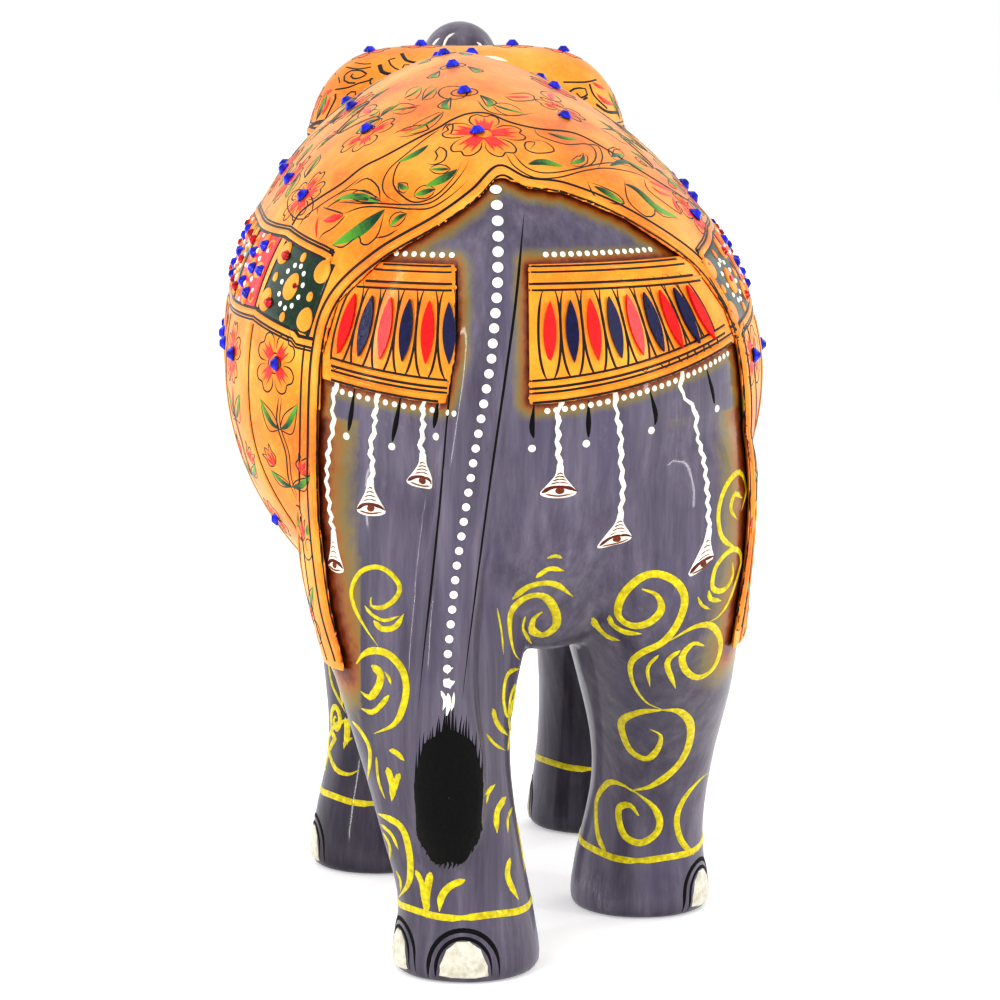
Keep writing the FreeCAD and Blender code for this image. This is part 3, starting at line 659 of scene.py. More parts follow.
# ---------------------------------------------------------------- brushwork on the bare wood
#    Yellow scrolls of the rump and the hind legs, seen from behind: width, then the points of the stroke
REAR_SCROLLS = [
    (1.3, [(-34, 93), (-34, 91), (-31.5, 90.5), (-28.5, 92.5), (-27.5, 95.5), (-30, 98.8), (-33, 100),
           (-36.5, 98.8), (-38.5, 95), (-38, 91), (-35.5, 86), (-32.5, 81.5)]),
    (1.9, [(-37.5, 77.5), (-36, 79.5), (-33.5, 80.5), (-30, 79.5), (-27, 76), (-26, 71.5), (-27, 66.5),
           (-29, 63), (-33.5, 61)]),
    (2.2, [(-34, 77), (-32, 75), (-32.5, 72), (-34.5, 69.5), (-36.5, 71)]),
    (1.4, [(-30, 70), (-32, 67.5), (-34, 66), (-36.5, 67)]),
    (0.8, [(-31, 75.5), (-30, 74), (-29.5, 72.5)]),
    (0.9, [(-35.5, 91), (-34, 89), (-31, 87.5), (-27.5, 88.5)]),
    (1.5, [(-33.5, 87.5), (-31.5, 85.5), (-28.5, 86), (-26.5, 89)]),
    (1.0, [(-44, 78.5), (-43, 72.5), (-40, 66)]),
    (1.6, [(-39.5, 64.5), (-43, 62.5), (-44, 58), (-42.5, 53), (-39.5, 51.5), (-37, 52.5)]),
    (1.6, [(-38.5, 64), (-36.5, 61.5), (-34.5, 57), (-35, 50)]),
    (1.4, [(-38.5, 60), (-40, 59.5), (-40.5, 57.5)]),
    (1.0, [(-33, 55.5), (-32.5, 50), (-31, 45.5)]),
    (2.2, [(-30.5, 53), (-29.3, 48.5), (-29.5, 45)]),
    (1.6, [(-27.5, 51.5), (-28.3, 50), (-28.8, 47)]),
    (1.5, [(-30, 57), (-28.5, 56.5), (-26.5, 54.5)]),
    (0.7, [(-5, 90), (-4, 84.5), (-3.5, 79)]),
    (1.5, [(1, 76), (-2.5, 74.5), (-3.5, 69), (-2.5, 64.5), (-1, 68.5), (-0.5, 72.5)]),
    (1.7, [(-6, 66.5), (-5, 63), (-2.5, 60)]),
    (0.9, [(-7.5, 60.5), (-5.5, 58), (-3, 56.5)]),
    (1.4, [(-5.5, 48.5), (-6.5, 47.5), (-8, 46)]),
    (2.3, [(5.5, 89), (3.5, 87.5), (3, 85), (5.5, 83.5), (8.5, 85.5), (8.5, 89), (6, 92.5), (2, 92.5),
           (-1.5, 89.5), (-2, 85), (-1, 79.5), (1.5, 76.5)]),
    (1.2, [(1.5, 88), (1, 85), (3, 81.5)]),
    (2.0, [(-1.5, 92), (2.5, 95), (8, 95.5), (12.5, 92.5)]),
    (1.6, [(4, 97), (7, 99), (10.5, 98.5)]),
    (1.1, [(6.5, 101.5), (8.5, 102), (10, 101.5)]),
    (2.2, [(28.5, 94), (32, 92.5), (33, 89), (30, 86), (26, 85.5), (23, 88), (24, 92.5), (28, 96.5),
           (32, 97.5), (36.5, 95.5), (38.5, 91.5), (37, 86), (33.5, 81.5), (28.5, 79), (26, 76.5),
           (26.5, 72), (29.5, 67.5), (33.5, 65.5)]),
    (1.9, [(21, 88), (21.5, 86), (24.5, 84), (28.5, 83.5)]),
    (1.9, [(17, 87.5), (18, 85.5), (20.5, 83), (23.5, 82)]),
    (2.0, [(43, 80.5), (40.5, 81), (38, 78), (39, 74.5), (42, 73), (45.5, 75.5), (47, 81), (45, 85),
           (41, 85), (34.5, 81.5)]),
    (1.6, [(37.5, 79.5), (34.5, 76.5), (36.5, 70.5)]),
    (1.0, [(32.5, 78.5), (30, 75.5), (30.5, 71)]),
    (1.6, [(49.5, 100), (49.5, 96.5), (47.5, 93.5), (45, 94), (45.5, 98.5), (48, 102), (50.5, 103),
           (51.5, 100), (49, 91.5), (46.5, 87.5), (44, 86)]),
    (1.4, [(44, 93.5), (44.5, 91.5), (47, 91)]),
    (0.9, [(41.5, 92), (42.5, 90), (44.5, 89)]),
    (1.6, [(50.5, 103), (47, 106), (46.2, 112), (48, 118), (51, 121), (52.5, 117), (51.5, 112)]),
    (1.5, [(51.6, 115), (50, 116), (49, 112.5), (50.5, 110)]),
    (2.4, [(33.5, 65.5), (37.5, 65), (40, 62), (39.5, 56.5), (36.5, 51.5), (31, 47.5), (26, 46.5)]),
    (2.2, [(33.5, 65.5), (28, 65), (24, 63), (24.5, 59), (26.5, 55.5), (30, 54), (32.5, 56.5), (33, 59.5),
           (30.5, 61)]),
    (2.0, [(28, 40.5), (26, 43), (23.5, 42.5), (23.5, 39), (25, 35.5), (28.5, 34), (32, 36), (33, 39),
           (31.5, 42.5), (28, 45.5), (26, 47)]),
    (1.8, [(20.5, 31.5), (18.5, 36), (18, 42), (18.5, 45.5), (21, 48.5), (24, 48), (27, 46)]),
    (1.9, [(41, 31), (38, 34.5), (37, 39.5), (38.5, 44), (42, 48.5), (45.5, 51.5)]),
    (1.0, [(44.5, 45), (43.5, 42.5), (44.5, 37.5)]),
    (2.2, [(-32.5, 42), (-27.5, 39), (-25.5, 33), (-25.5, 26), (-28, 22)]),
    (1.4, [(-32, 39.5), (-29.5, 37), (-28, 33.5)]),
    (1.5, [(-31.5, 37.5), (-30, 34.5), (-30, 30)]),
    (1.2, [(-28.5, 28.5), (-27.5, 26), (-27.5, 23.5)]),
    (1.8, [(-24, 28.5), (-22.5, 25), (-22, 19.5)]),
    (2.2, [(-20.5, 28), (-21.5, 22.5), (-21.5, 17)]),
    (1.9, [(-12.5, 26), (-16, 24.5), (-18, 22), (-18.5, 18.5)]),
    (2.0, [(-2, 31), (-2.5, 26.5), (0, 21)]),
    (2.2, [(-3, 45.5), (-5, 42), (-5, 37)]),
    (1.1, [(-1.5, 43), (-2.5, 40.5), (-2.5, 37)]),
    (1.2, [(-5.5, 48.5), (-7, 46.5), (-7.5, 44)]),
    (0.9, [(-0.5, 40), (0.5, 34), (1.5, 27.5)]),
]
#    Rings round the ankles: height in front, and how much lower they sag behind
ANKLES = {"left_hind": (16.5, -0.5), "right_hind": (18.0, -3.0), "left_fore": (20.0, -1.0),
          "right_fore": (19.5, -1.0)}
#    Toenails: degrees round the foot from the rear towards the right side
NAILS = {"left_hind": (-6, -76, -128, 180), "right_hind": (62, 118, 165, -145),
         "left_fore": (-84, -132, 180, 128), "right_fore": (112, 160, -150, -104)}
NAIL_OUTLINE = [(-6.4, -3.6), (-6.0, -0.5), (-4.2, 3.4), (-1.6, 5.4), (1.4, 5.5), (4.2, 3.6), (6.1, -0.5),
                (6.5, -3.6), (3.2, -4.0), (0, -4.1), (-3.2, -4.0)]
FOOT_RADIUS = 17.4
TUFT = (-16.2, 45.5, 8.2, 16.2)              # the black tuft of the tail seen from behind: x, z, half sizes


def scrolls(skin, yellow):
    for width, points in REAR_SCROLLS:
        stroke(yellow, skin, from_behind, points, width, 0.22)


def leg_view(leg):
    x, y = LEG_MIDDLES[leg]
    return round_leg(x, y, FOOT_RADIUS)


def ankle_rings(skin, yellow):
    around = 2 * math.pi * FOOT_RADIUS
    for leg, (height, sag) in ANKLES.items():
        points = []
        for k in range(24):
            turn = 2 * math.pi * k / 24
            points.append((around * k / 24, height + sag * math.cos(turn) + 0.3 * math.sin(5 * turn)))
        spots = project(skin, leg_view(leg), smooth_line([(a, b, 0) for a, b in points], 1.0))
        ribbon(yellow, skin, spots, 1.9, 0.2, even_profile, closed=True, tone=0.5)


def arch(x, half, tall, low=1.2, count=9):
    """Points of a pointed-round arch standing on low."""
    points = [(x - half, low)]
    for k in range(1, count - 1):
        turn = math.pi * (1 - k / (count - 1))
        points.append((x + half * math.cos(turn), low + (tall - low) * math.sin(turn) ** 0.75))
    return points + [(x + half, low)]


def toenails(skin, nail, black):
    for leg, places in NAILS.items():
        view = leg_view(leg)
        for degrees in places:
            middle = math.radians(degrees) * FOOT_RADIUS
            seat = seat_in(skin, view, middle, 5.0)
            if seat is None:
                continue
            seat.patch(nail, NAIL_OUTLINE, 0.35, crown=0.4)
            stroke(black, skin, view, arch(middle, 6.9, 11.0), 1.0, 0.16)
            stroke(black, skin, view, arch(middle, 8.9, 12.9), 1.3, 0.16)


def tail_tuft(skin, black):
    x, z, half, tall = TUFT
    rows, tones = [], []
    sides = 44
    for ring in (0.02, 0.3, 0.55, 0.78, 0.93, 1.0):
        row = []
        for k in range(sides):
            turn = 2 * math.pi * k / sides
            ragged = 1.0 + 0.025 * math.sin(9 * turn) * ring
            px = x + half * ring * ragged * signed(math.cos(turn), 0.85)
            pz = z + tall * ring * ragged * signed(math.sin(turn), 0.85)
            hit = skin.ray(*from_behind(px, pz))
            lift = 0.45 * math.sqrt(max(0.0, 1 - ring * ring)) - (SUNK if ring >= 1 else 0.0)
            row.append(hit[0] + hit[1] * lift)
        rows.append(row + [row[0]])
        tones.append([0.5] * (sides + 1))
    black.grid(rows, tones)
    for k in range(21):
        share = k / 20
        across = -1 + 2 * share
        start = (x + half * 0.93 * across, z + tall * (0.93 * math.sqrt(1 - 0.75 * across ** 2)))
        rise = random.uniform(2.0, 6.5) + 2.5 * (1 - abs(across))
        lean = random.uniform(-0.5, 0.5) + 0.5
        points = [(start[0], start[1] - 3.5), (start[0] + lean * 0.4, start[1] + rise * 0.4),
                  (start[0] + lean, start[1] + rise)]
        stroke(black, skin, from_behind, points, 1.3, 0.15, lambda t: 1.05 - t)
    for k in range(15):
        across = -1 + 2 * k / 14
        start = (x + half * 0.9 * across, z - tall * (0.9 * math.sqrt(1 - 0.8 * across ** 2)))
        points = [start, (start[0] + 0.3, start[1] - 1.2), (start[0] - 0.2, start[1] - 2.4)]
        stroke(black, skin, from_behind, points, 1.4, 0.14, lambda t: 1.05 - t)


def signed(value, power):
    return math.copysign(abs(value) ** power, value)


#    Tassels under the rump bands, seen from behind: the cord down from the band, how far the bell reaches
#    across and down from the cord's end, how far its foot leans, and how steeply its mouth is set
TASSELS = [
    ([(-41.5, 143), (-42.5, 138), (-42.5, 132.5), (-43.5, 127.5), (-44, 120), (-43.5, 115), (-43, 110.5),
      (-42.5, 108)], 2.9, 9.0, 0.7, -0.12),
    ([(-32, 141.5), (-32.5, 138.5), (-33, 135), (-33, 132.5), (-34, 127.5), (-33.5, 123.5), (-34, 120)],
     3.9, 8.0, 0.6, 0.0),
    ([(-21.5, 139.5), (-22, 136.5), (-22, 134), (-22, 131.5), (-22.5, 128),
      (-22, 125.5)], 3.9, 7.4, -0.6, -0.1),
    ([(10, 138.5), (9, 135), (9, 131.5), (9, 127), (9.5, 122.5)], 4.4, 7.0, -0.3, 0.0),
    ([(22, 140), (22.5, 135), (23.5, 129), (23.5, 123.5), (24, 118), (23.5, 111.5)], 4.4, 8.0, -0.2, 0.34),
    ([(37.5, 144.5), (37.5, 139.5), (40.5, 135.5), (41, 130), (42.5, 124.5), (43.5, 117), (44, 107.5)],
     3.7, 9.6, -1.6, 0.6),
]
#    Black spear drops between the tassels: top, knee and point, then the white dot below
SPEARS = [
    [(-37.5, 141.5), (-38.5, 134.5), (-39, 131.5), (-39.5, 130.3)],
    [(-27, 139.5), (-28, 134), (-29, 129), (-29.1, 127.8)],
    [(-18.5, 138.5), (-19, 135), (-19.5, 132), (-19, 130)],
    [(3.5, 137.5), (3, 132), (3.4, 129.5), (3, 127)],
    [(16, 138), (16, 132), (16, 129.5), (15.5, 128)],
    [(30, 140.5), (31.5, 134.5), (31.3, 132.2), (30.5, 130.9)],
    [(43, 145.5), (44.5, 140), (45, 137), (45.6, 135.8)],
]


def tassels(skin, white, brown, cord, black):
    for points, half, tall, lean, skew in TASSELS:
        wavy = []
        line = smooth_line([(p[0], p[1], 0) for p in points], 1.6)
        for k, p in enumerate(line):
            wavy.append((p.x + (0.28 if k % 2 else -0.28) * min(1, k / 2), p.y))
        stroke(cord, skin, from_behind, wavy, 1.35, 0.35,
               lambda t: 0.85 + 0.3 * math.sin(29 * t) * (1 - t) + 0.15 * t)
        bell(skin, white, brown, points[-1], half, tall, lean, skew)
    for top, knee, point, dot in SPEARS:
        stroke(black, skin, from_behind, [top, knee, point], 1.3, 0.18,
               lambda t: 0.25 + 0.85 * math.sin(math.pi * min(1.0, t * 0.98) ** 1.5))
        seat_in(skin, from_behind, *dot).dome(white, 0, 0, 0.9, 0.9, 0.45)


def bell(skin, white, brown, top, half, tall, lean, skew):
    """A white bell with brown pleats and a red-brown oval mouth with a light round clapper."""
    seat = seat_in(skin, from_behind, top[0], top[1])
    low = -tall

    def hung(points):
        return [(x + lean * -y / tall, y + skew * x * -y / tall) for x, y in points]
    left = [(-0.7, 0.6), (-1.1, -0.25 * tall), (-0.62 * half, -0.55 * tall), (-half, low + 1.1),
            (-0.8 * half, low + 0.2), (-0.3 * half, low - 0.25)]
    outline = hung(left + [(-x, y) for x, y in reversed(left)])
    dense_line = [(p.x, p.y) for p in smooth_line([(a, b, 0) for a, b in outline], 0.6, True)]
    seat.patch(white, dense_line, 0.4, crown=0.55, centre=hung([(0, -0.55 * tall)])[0])
    mouth = low + 1.7
    over = Lifted(seat, 0.3)
    lid = [(-0.9 * half, mouth - 0.5), (-0.4 * half, mouth + 0.65), (0.1 * half, mouth + 0.85),
           (0.6 * half, mouth + 0.4), (0.98 * half, mouth - 0.4)]
    over.line(brown, hung(lid), 1.0, 0.16, tone=0.1)
    x, y = hung([(0.05 * half, mouth - 0.05)])[0]
    over.dome(brown, x, y, 0.26 * half, 0.85, 0.22, tone=0.35)
    lip = [(-0.7 * half, mouth - 0.9), (0, mouth - 1.35), (0.75 * half, mouth - 0.9)]
    over.line(brown, hung(lip), 0.4, 0.12, tone=0.5)
    for k in range(4):
        level = mouth + 1.7 + k * (tall - 3.4) / 5
        wide = half * (0.62 - 0.13 * k)
        pleat = [(-wide * 0.7, level - 0.2), (0, level + 0.25), (wide * 0.75, level - 0.1)]
        over.line(brown, hung(pleat), 0.42, 0.12, tone=0.45)


class Lifted:
    """A seat whose drawings lie on top of a patch of paint that is already there."""

    def __init__(self, seat, lift):
        self.seat, self.lift = seat, lift

    def line(self, paint, points, width, height=0.14, profile=brush_profile, closed=False, tone=None):
        spots = [(spot + out * self.lift, out) for spot, out in self.seat.spots(points, 0.5, closed)]
        free_ribbon(paint, spots, width, height, profile, closed, tone)

    def dome(self, paint, x, y, across, up, height, turn=0.0, tone=0.0):
        seat = self.seat
        raised = Seat(RaisedSkin(seat.skin, self.lift), seat.spot, seat.normal, seat.up)
        raised.dome(paint, x, y, across, up, height, turn, tone)

    def patch(self, paint, outline, height=0.14, **more):
        seat = self.seat
        raised = Seat(RaisedSkin(seat.skin, self.lift), seat.spot, seat.normal, seat.up)
        raised.patch(paint, outline, height, **more)


class RaisedSkin:
    """A skin as it is under a coat of paint of some thickness."""

    def __init__(self, skin, lift):
        self.skin, self.lift = skin, lift

    def settle(self, near):
        spot, out = self.skin.settle(near)
        return spot + out * self.lift, out

    def ray(self, start, direction):
        hit = self.skin.ray(start, direction)
        return None if hit is None else (hit[0] + hit[1] * self.lift, hit[1])


def free_ribbon(paint, spots, width, height, profile, closed, tone):
    """A ribbon that keeps to its own spots instead of settling on the skin."""
    count = len(spots)
    rows, tones = [], []
    for i, (spot, normal) in enumerate(spots):
        before = spots[(i - 1) % count if closed else max(i - 1, 0)][0]
        after = spots[(i + 1) % count if closed else min(i + 1, count - 1)][0]
        along = after - before
        across = normal.cross(along.normalized()).normalized()
        share = i / max(count - 1, 1)
        half = max(0.04, width / 2 * profile(share))
        rows.append([spot + across * (place * half) + normal * (rise * height - SUNK * (1 - rise))
                     for place, rise in zip(CROSS, ROUND_TOP)])
        tones.append([share if tone is None else tone] * len(CROSS))
    paint.grid(rows, tones, closed)


# ---------------------------------------------------------------- flowers, leaves and lines on the paste
def flower(seat, lines, red, size=5.5, petals=4, turn=0.0, cleft=True, ring=2.4):
    """A flower round a stone: heart-shaped petals in dark outline with red brush hatch at the root."""
    for k in range(petals):
        a = math.radians(turn) + 2 * math.pi * k / petals
        wide = math.pi / petals * 0.86
        shape = [(-0.55, 0.34), (-0.95, 0.62), (-0.88, 0.90), (-0.45, 1.02), (0.0, 0.92 if cleft else 1.06),
                 (0.45, 1.02), (0.88, 0.90), (0.95, 0.62), (0.55, 0.34)]
        spread = math.tan(wide) * 0.62
        points = []
        for across, out in shape:
            px, py = across * size * spread, out * size
            points.append((px * math.cos(a) + py * math.sin(a), -px * math.sin(a) + py * math.cos(a)))
        seat.line(lines, points, 0.34, 0.14)
        for j in range(5):
            lean = (j - 2) * 0.17
            reach = (0.82, 0.70, 0.86, 0.66, 0.78)[j] * size
            tip = (math.sin(a + lean * 0.8) * reach, math.cos(a + lean * 0.8) * reach)
            root = (math.sin(a + lean * 1.1) * ring * 0.8, math.cos(a + lean * 1.1) * ring * 0.8)
            seat.line(red, [root, ((root[0] + tip[0]) / 2, (root[1] + tip[1]) / 2), tip], 0.20 * size, 0.12,
                      lambda t: 0.75 - 0.62 * t * t)
    seat.line(lines, oval_outline(0, 0, ring, ring, 12), 0.3, 0.12, even_profile, closed=True)


def leaf(skin, view, paint, points, width, lines=None, gap=0.5):
    """A slender leaf along points, with a fine dark outline a little outside it."""
    stroke(paint, skin, view, points, width, 0.16, lens_profile, step=0.6)
    if lines is None:
        return
    flat = smooth_line([(p[0], p[1], 0) for p in points], 1.0)
    ends = len(flat) - 1
    for side in (-1, 1):
        edge = []
        for k, p in enumerate(flat):
            before, after = flat[max(k - 1, 0)], flat[min(k + 1, ends)]
            along = (after - before).normalized()
            off = side * (width / 2 + gap) * math.sin(math.pi * k / ends) ** 0.7 if 0 < k < ends else 0.0
            edge.append((p.x - along.y * off, p.y + along.x * off))
        stroke(lines, skin, view, edge, 0.28, 0.12)


def double_line(skin, view, lines, gold, points, gap=1.5, closed=False, step=1.0):
    """A narrow raised gold fillet with a dark line along each side."""
    flat = smooth_line([(p[0], p[1], 0) for p in points], step, closed)
    for spots in runs(project(skin, view, flat), JUMP):
        fillet(skin, lines, gold, spots, gap, closed)


def fillet(skin, lines, gold, spots, gap=1.5, closed=False, height=0.35, thick=0.5):
    if len(spots) < 3:
        return
    ribbon(gold, skin, spots, gap * 1.15, height, even_profile, closed, tone=0.5)
    count = len(spots)
    for side in (-1, 1):
        edge = []
        for i, (spot, normal) in enumerate(spots):
            before = spots[(i - 1) % count if closed else max(i - 1, 0)][0]
            after = spots[(i + 1) % count if closed else min(i + 1, count - 1)][0]
            across = normal.cross((after - before).normalized()).normalized()
            edge.append(skin.settle(spot + across * side * gap / 2))
        ribbon(lines, skin, edge, thick, 0.16, even_profile, closed)


# ---------------------------------------------------------------- rear of the saddle cloth
SHIFT = Vector((2.062, -20.433, 0.0))        # from the carver's own axes to the shared frame
#    The cut edge of the cloth round the bare rump: x, z
EDGE = [(x + SHIFT.x, z) for x, z in (
    (-41.5, 76), (-44.8, 88), (-46.9, 106), (-47.3, 124), (-46.3, 147), (-42.5, 159.5), (-32.5, 169.5),
    (-18.5, 178), (-10.5, 183.5), (-5, 188.2), (0.5, 185.6), (10, 184), (24, 178), (40.5, 167), (48.5, 156),
    (52, 146), (54.2, 129), (54.8, 110), (54.2, 96), (52, 79))]
BARREL_Z = 138.0


def straight_back(x, z):
    return Vector((x, -300.0, z)), Vector((0, 1, 0))


def around_barrel(y, degrees):
    """Round the back: how far forward, and degrees from straight up towards the right."""
    turn = math.radians(degrees)
    out = Vector((math.sin(turn), 0, math.cos(turn)))
    return Vector((SHIFT.x, y + SHIFT.y, BARREL_Z)) + out * 150.0, -out


def beside_line(points, distance):
    """The line that runs at a distance to the left of a line."""
    moved = []
    for i, (x, z) in enumerate(points):
        before, after = points[max(i - 1, 0)], points[min(i + 1, len(points) - 1)]
        along = Vector((after[0] - before[0], after[1] - before[1])).normalized()
        moved.append((x - along.y * distance, z + along.x * distance))
    return moved


def rear_rims(skin, lines, gold):
    stroke(gold, skin, straight_back, beside_line(EDGE, 1.3), 1.9, 0.45, even_profile, tone=0.8)
    stroke(lines, skin, straight_back, beside_line(EDGE, 2.5), 0.55, 0.2, even_profile)
    stroke(lines, skin, straight_back, beside_line(EDGE, 0.35), 0.45, 0.2, even_profile)
    for low, high in ((0, 6), (13, 20)):
        stroke(lines, skin, straight_back, beside_line(EDGE[low:high], 4.3), 0.45, 0.2, even_profile)


#    Seen from behind. Dark lines of the border strip and the field above it
STRIP_LINES = [
    [(-51.5, 178.5), (-49.5, 181.5), (-45.5, 184.5), (-40, 188), (-35.5, 191.5), (-30.5, 194), (-23, 198),
     (-18, 200.5), (-15.5, 202), (-11.5, 203.5), (-7, 203.5), (-2, 201.5), (4.5, 200), (12.5, 199),
     (19.5, 195.5), (27.5, 190.5), (34, 186.5), (41, 182)],
    [(-38.5, 184), (-33.5, 183.5), (-25.5, 183), (-20, 183.5), (-15.5, 187), (-12, 191.5), (-11.5, 193.5)],
    [(-40, 181), (-35.5, 182.5), (-30.5, 182.5), (-24.5, 182), (-20, 182.3), (-15.5, 185), (-11.5, 188.5)],
    [(-18, 200), (-21, 198), (-25.5, 194.5), (-29.5, 191), (-31, 187.5), (-30, 185), (-26.5, 183)],
    [(-21, 196), (-26, 193.5), (-28, 191), (-28.5, 187.5), (-26.5, 185), (-23.5, 183.5), (-19, 185),
     (-15, 189), (-13, 192.5)],
    [(-44, 182), (-42, 183.5), (-37.5, 185.5), (-33.5, 184.5), (-30.5, 183.5)],
    [(-42.5, 174), (-40, 173.5), (-36.5, 176), (-36, 174.5), (-34.5, 174), (-32, 176.5), (-30.5, 182)],
    [(-39.5, 180.5), (-42, 178), (-44.5, 176.5), (-45.5, 175)],
    [(-32.5, 175.5), (-30, 176), (-27.5, 177.5)],
    [(-44.5, 182.5), (-40, 181), (-40.5, 180)],
    [(-37.5, 187.5), (-34.5, 189), (-32, 187), (-31.5, 183.5)],
    [(-19.5, 193), (-19, 193), (-18.5, 194), (-19, 195), (-18, 196), (-16.5, 195), (-17, 193), (-19.5, 192),
     (-21, 192.5)],
    [(-17.5, 199.5), (-16.5, 201), (-15, 201), (-15.5, 199), (-17, 199)],
    [(-3, 194.5), (-1, 191.5), (3.5, 189), (9, 189), (15, 190.5), (20.5, 191), (27.5, 189.5), (32.5, 186.5)],
    [(-1.5, 194.8), (1, 191.8), (4.5, 190.2), (9, 190.2), (16.5, 191.7), (21.5, 192.2), (28, 190.7)],
    [(15.5, 196.5), (18, 196), (19, 193.5), (18, 191)],
    [(3.5, 200), (4.5, 198.5), (10.5, 196.5), (15.5, 196.5), (17.5, 194.5), (16.5, 192), (12, 190.5)],
    [(2.5, 195.5), (3.5, 196.5), (3.5, 197), (1.5, 197), (1.5, 195.5), (4, 194.5), (8, 195), (6, 197),
     (3, 197.5)],
    [(15.5, 188), (17.5, 184.5), (21.5, 183), (24, 183), (22.5, 185), (18.5, 187), (15.5, 188)],
    [(24, 188), (25, 183.5), (29, 180), (31, 180.5), (31, 181.5), (33, 180), (36.5, 179.5)],
    [(28.5, 188.5), (29.5, 186), (34, 182.5), (37, 180.5), (36.5, 182), (35, 184.5)],
    [(21, 193.5), (20.2, 195.2), (21.5, 195.8), (24, 194)],
    [(-9.5, 206.5), (-7, 204), (-2, 203), (3.5, 203.5)],
    [(-28.5, 199), (-25, 200.5), (-21, 201), (-20.5, 200), (-25, 198.5), (-28, 198.5)],
    [(-3.5, 207.5), (-1, 206.3), (3.5, 206.6), (2, 208), (-3.5, 207.8)],
]
#    Green leaves: width, points from the stem to the tip
STRIP_LEAVES = [
    (2.0, [(-31.5, 184), (-34.5, 184.5), (-38.5, 185), (-42, 184)]),
    (4.2, [(-30.5, 182), (-34, 179), (-37.5, 176.5), (-42.5, 174)]),
    (1.7, [(-25.5, 181), (-27.5, 180), (-29.5, 178)]),
    (2.4, [(-20.5, 196.5), (-23.5, 194.5), (-27.5, 192.5)]),
    (3.0, [(-14, 191), (-17, 189), (-21.5, 187)]),
    (1.6, [(-27.5, 188), (-26.5, 187), (-25, 186.5)]),
    (2.0, [(-19, 186.5), (-21, 186), (-24, 185)]),
    (1.2, [(-15.5, 191), (-18, 191), (-20.5, 191)]),
    (1.8, [(-38.5, 185), (-35.5, 185), (-32, 183.5)]),
    (2.2, [(6.5, 199), (10, 198), (13.5, 197.5)]),
    (2.8, [(2, 192), (5.5, 192.5), (10, 191.5)]),
    (1.6, [(14.5, 194.5), (14.5, 193), (11.5, 192)]),
    (1.9, [(21, 193.5), (22, 194), (24, 194)]),
    (2.3, [(20.5, 191.5), (24, 192.5), (27.5, 191), (29, 190.5)]),
    (2.6, [(17, 187), (20, 185.5), (24, 183)]),
    (3.6, [(24, 187.5), (27, 186), (31.5, 182), (36.5, 179.5)]),
    (1.5, [(-6, 205.5), (-3, 204.5), (1, 203.5)]),
    (1.4, [(-23, 205), (-27.5, 204.5), (-29, 204)]),
    (1.4, [(-17, 204), (-20.5, 201.5), (-26, 199)]),
    (1.5, [(-26, 207), (-24, 208), (-22, 209.5)]),
    (1.4, [(-22, 206.5), (-21, 207.5), (-18.5, 209.5)]),
    (1.5, [(-34, 203), (-32.5, 203.5), (-31.5, 204.5)]),
    (1.3, [(18.5, 200), (21.5, 199.5), (24.5, 197), (25.5, 196)]),
]
#    Red touches: width, points
STRIP_REDS = [
    (2.6, [(-39.8, 180.6), (-42.6, 179.9), (-44.6, 179.4)]), (1.0, [(-45.5, 180.5), (-46, 178.5),
                                                                    (-46, 175.5)]),
    (0.8, [(-45.6, 180.8), (-45.8, 182.2), (-44.8, 183)]), (2.2, [(29.5, 188), (32, 187), (35.5, 185.5)]),
    (1.6, [(35, 184.5), (32, 185.5), (30, 187)]), (2.0, [(36.8, 180.6), (35.8, 182.4), (35, 184.4)]),
    (1.3, [(-28, 199.5), (-25, 200), (-21.5, 200.5)]), (1.2, [(-27, 204), (-24.5, 205), (-22, 205.5)]),
    (1.4, [(-3, 207.2), (0, 207.2), (3, 207.2)]), (1.3, [(22, 201.5), (24.5, 199.5), (27, 197.5)]),
]
#    Flowers seen from behind: x, z, size, petals, turn in degrees
REAR_FLOWERS = [(-8, 199, 9.8, 5, 6), (9.5, 204.5, 6.5, 4, 40), (-34.5, 199, 7.2, 4, 38)]
REAR_RINGS = [(-15, 208.2, 3.3, 1.5), (36.5, 188.3, 2.6, 2.2), (-49.6, 183.2, 2.9, 3.4)]


def rear_strip(skin, lines, red, green):
    for i, points in enumerate(STRIP_LINES):
        width, profile = (0.62, even_profile) if i == 0 else (0.34, brush_profile)
        stroke(lines, skin, from_behind, points, width, 0.16, profile)
    stroke(lines, skin, from_behind, beside_line(STRIP_LINES[0][:5], -1.5), 0.34, 0.14)
    for width, points in STRIP_LEAVES:
        leaf(skin, from_behind, green, points, width, lines if width < 2.2 else None)
    for width, points in STRIP_REDS:
        stroke(red, skin, from_behind, points, width, 0.15, lens_profile)
    for x, z, size, petals, turn in REAR_FLOWERS:
        seat = seat_in(skin, from_behind, x, z)
        flower(seat, lines, red, size, petals, turn)
    for x, z, wide, tall in REAR_RINGS:
        ring = oval_outline(x, z, wide, tall, 14)
        stroke(lines, skin, from_behind, ring, 0.34, 0.14, even_profile, closed=True)


# ---------------------------------------------------------------- chequered band and panels of the flanks
SIDES = {"left": -1, "right": 1}
CHECK_COUNT = 6
CHECK_LENGTH = 24.0
CHECK_STEPS = 24
CHECK_START_Y = {"left": -89.0 + SHIFT.y, "right": -82.0 + SHIFT.y}
CHECK_REAR_Z, CHECK_Z = 159.5, 164.5
SQUARE_HALF = (10.8, 9.1)
RED_CORNER = (8.4, 6.0)
RING_R, RING_COUNT = 6.3, 5
HEM = [(-94.0, 73), (-78, 77), (-62, 87), (-48, 91), (-10, 91), (17.5, 93), (24.5, 101)]      # y, z


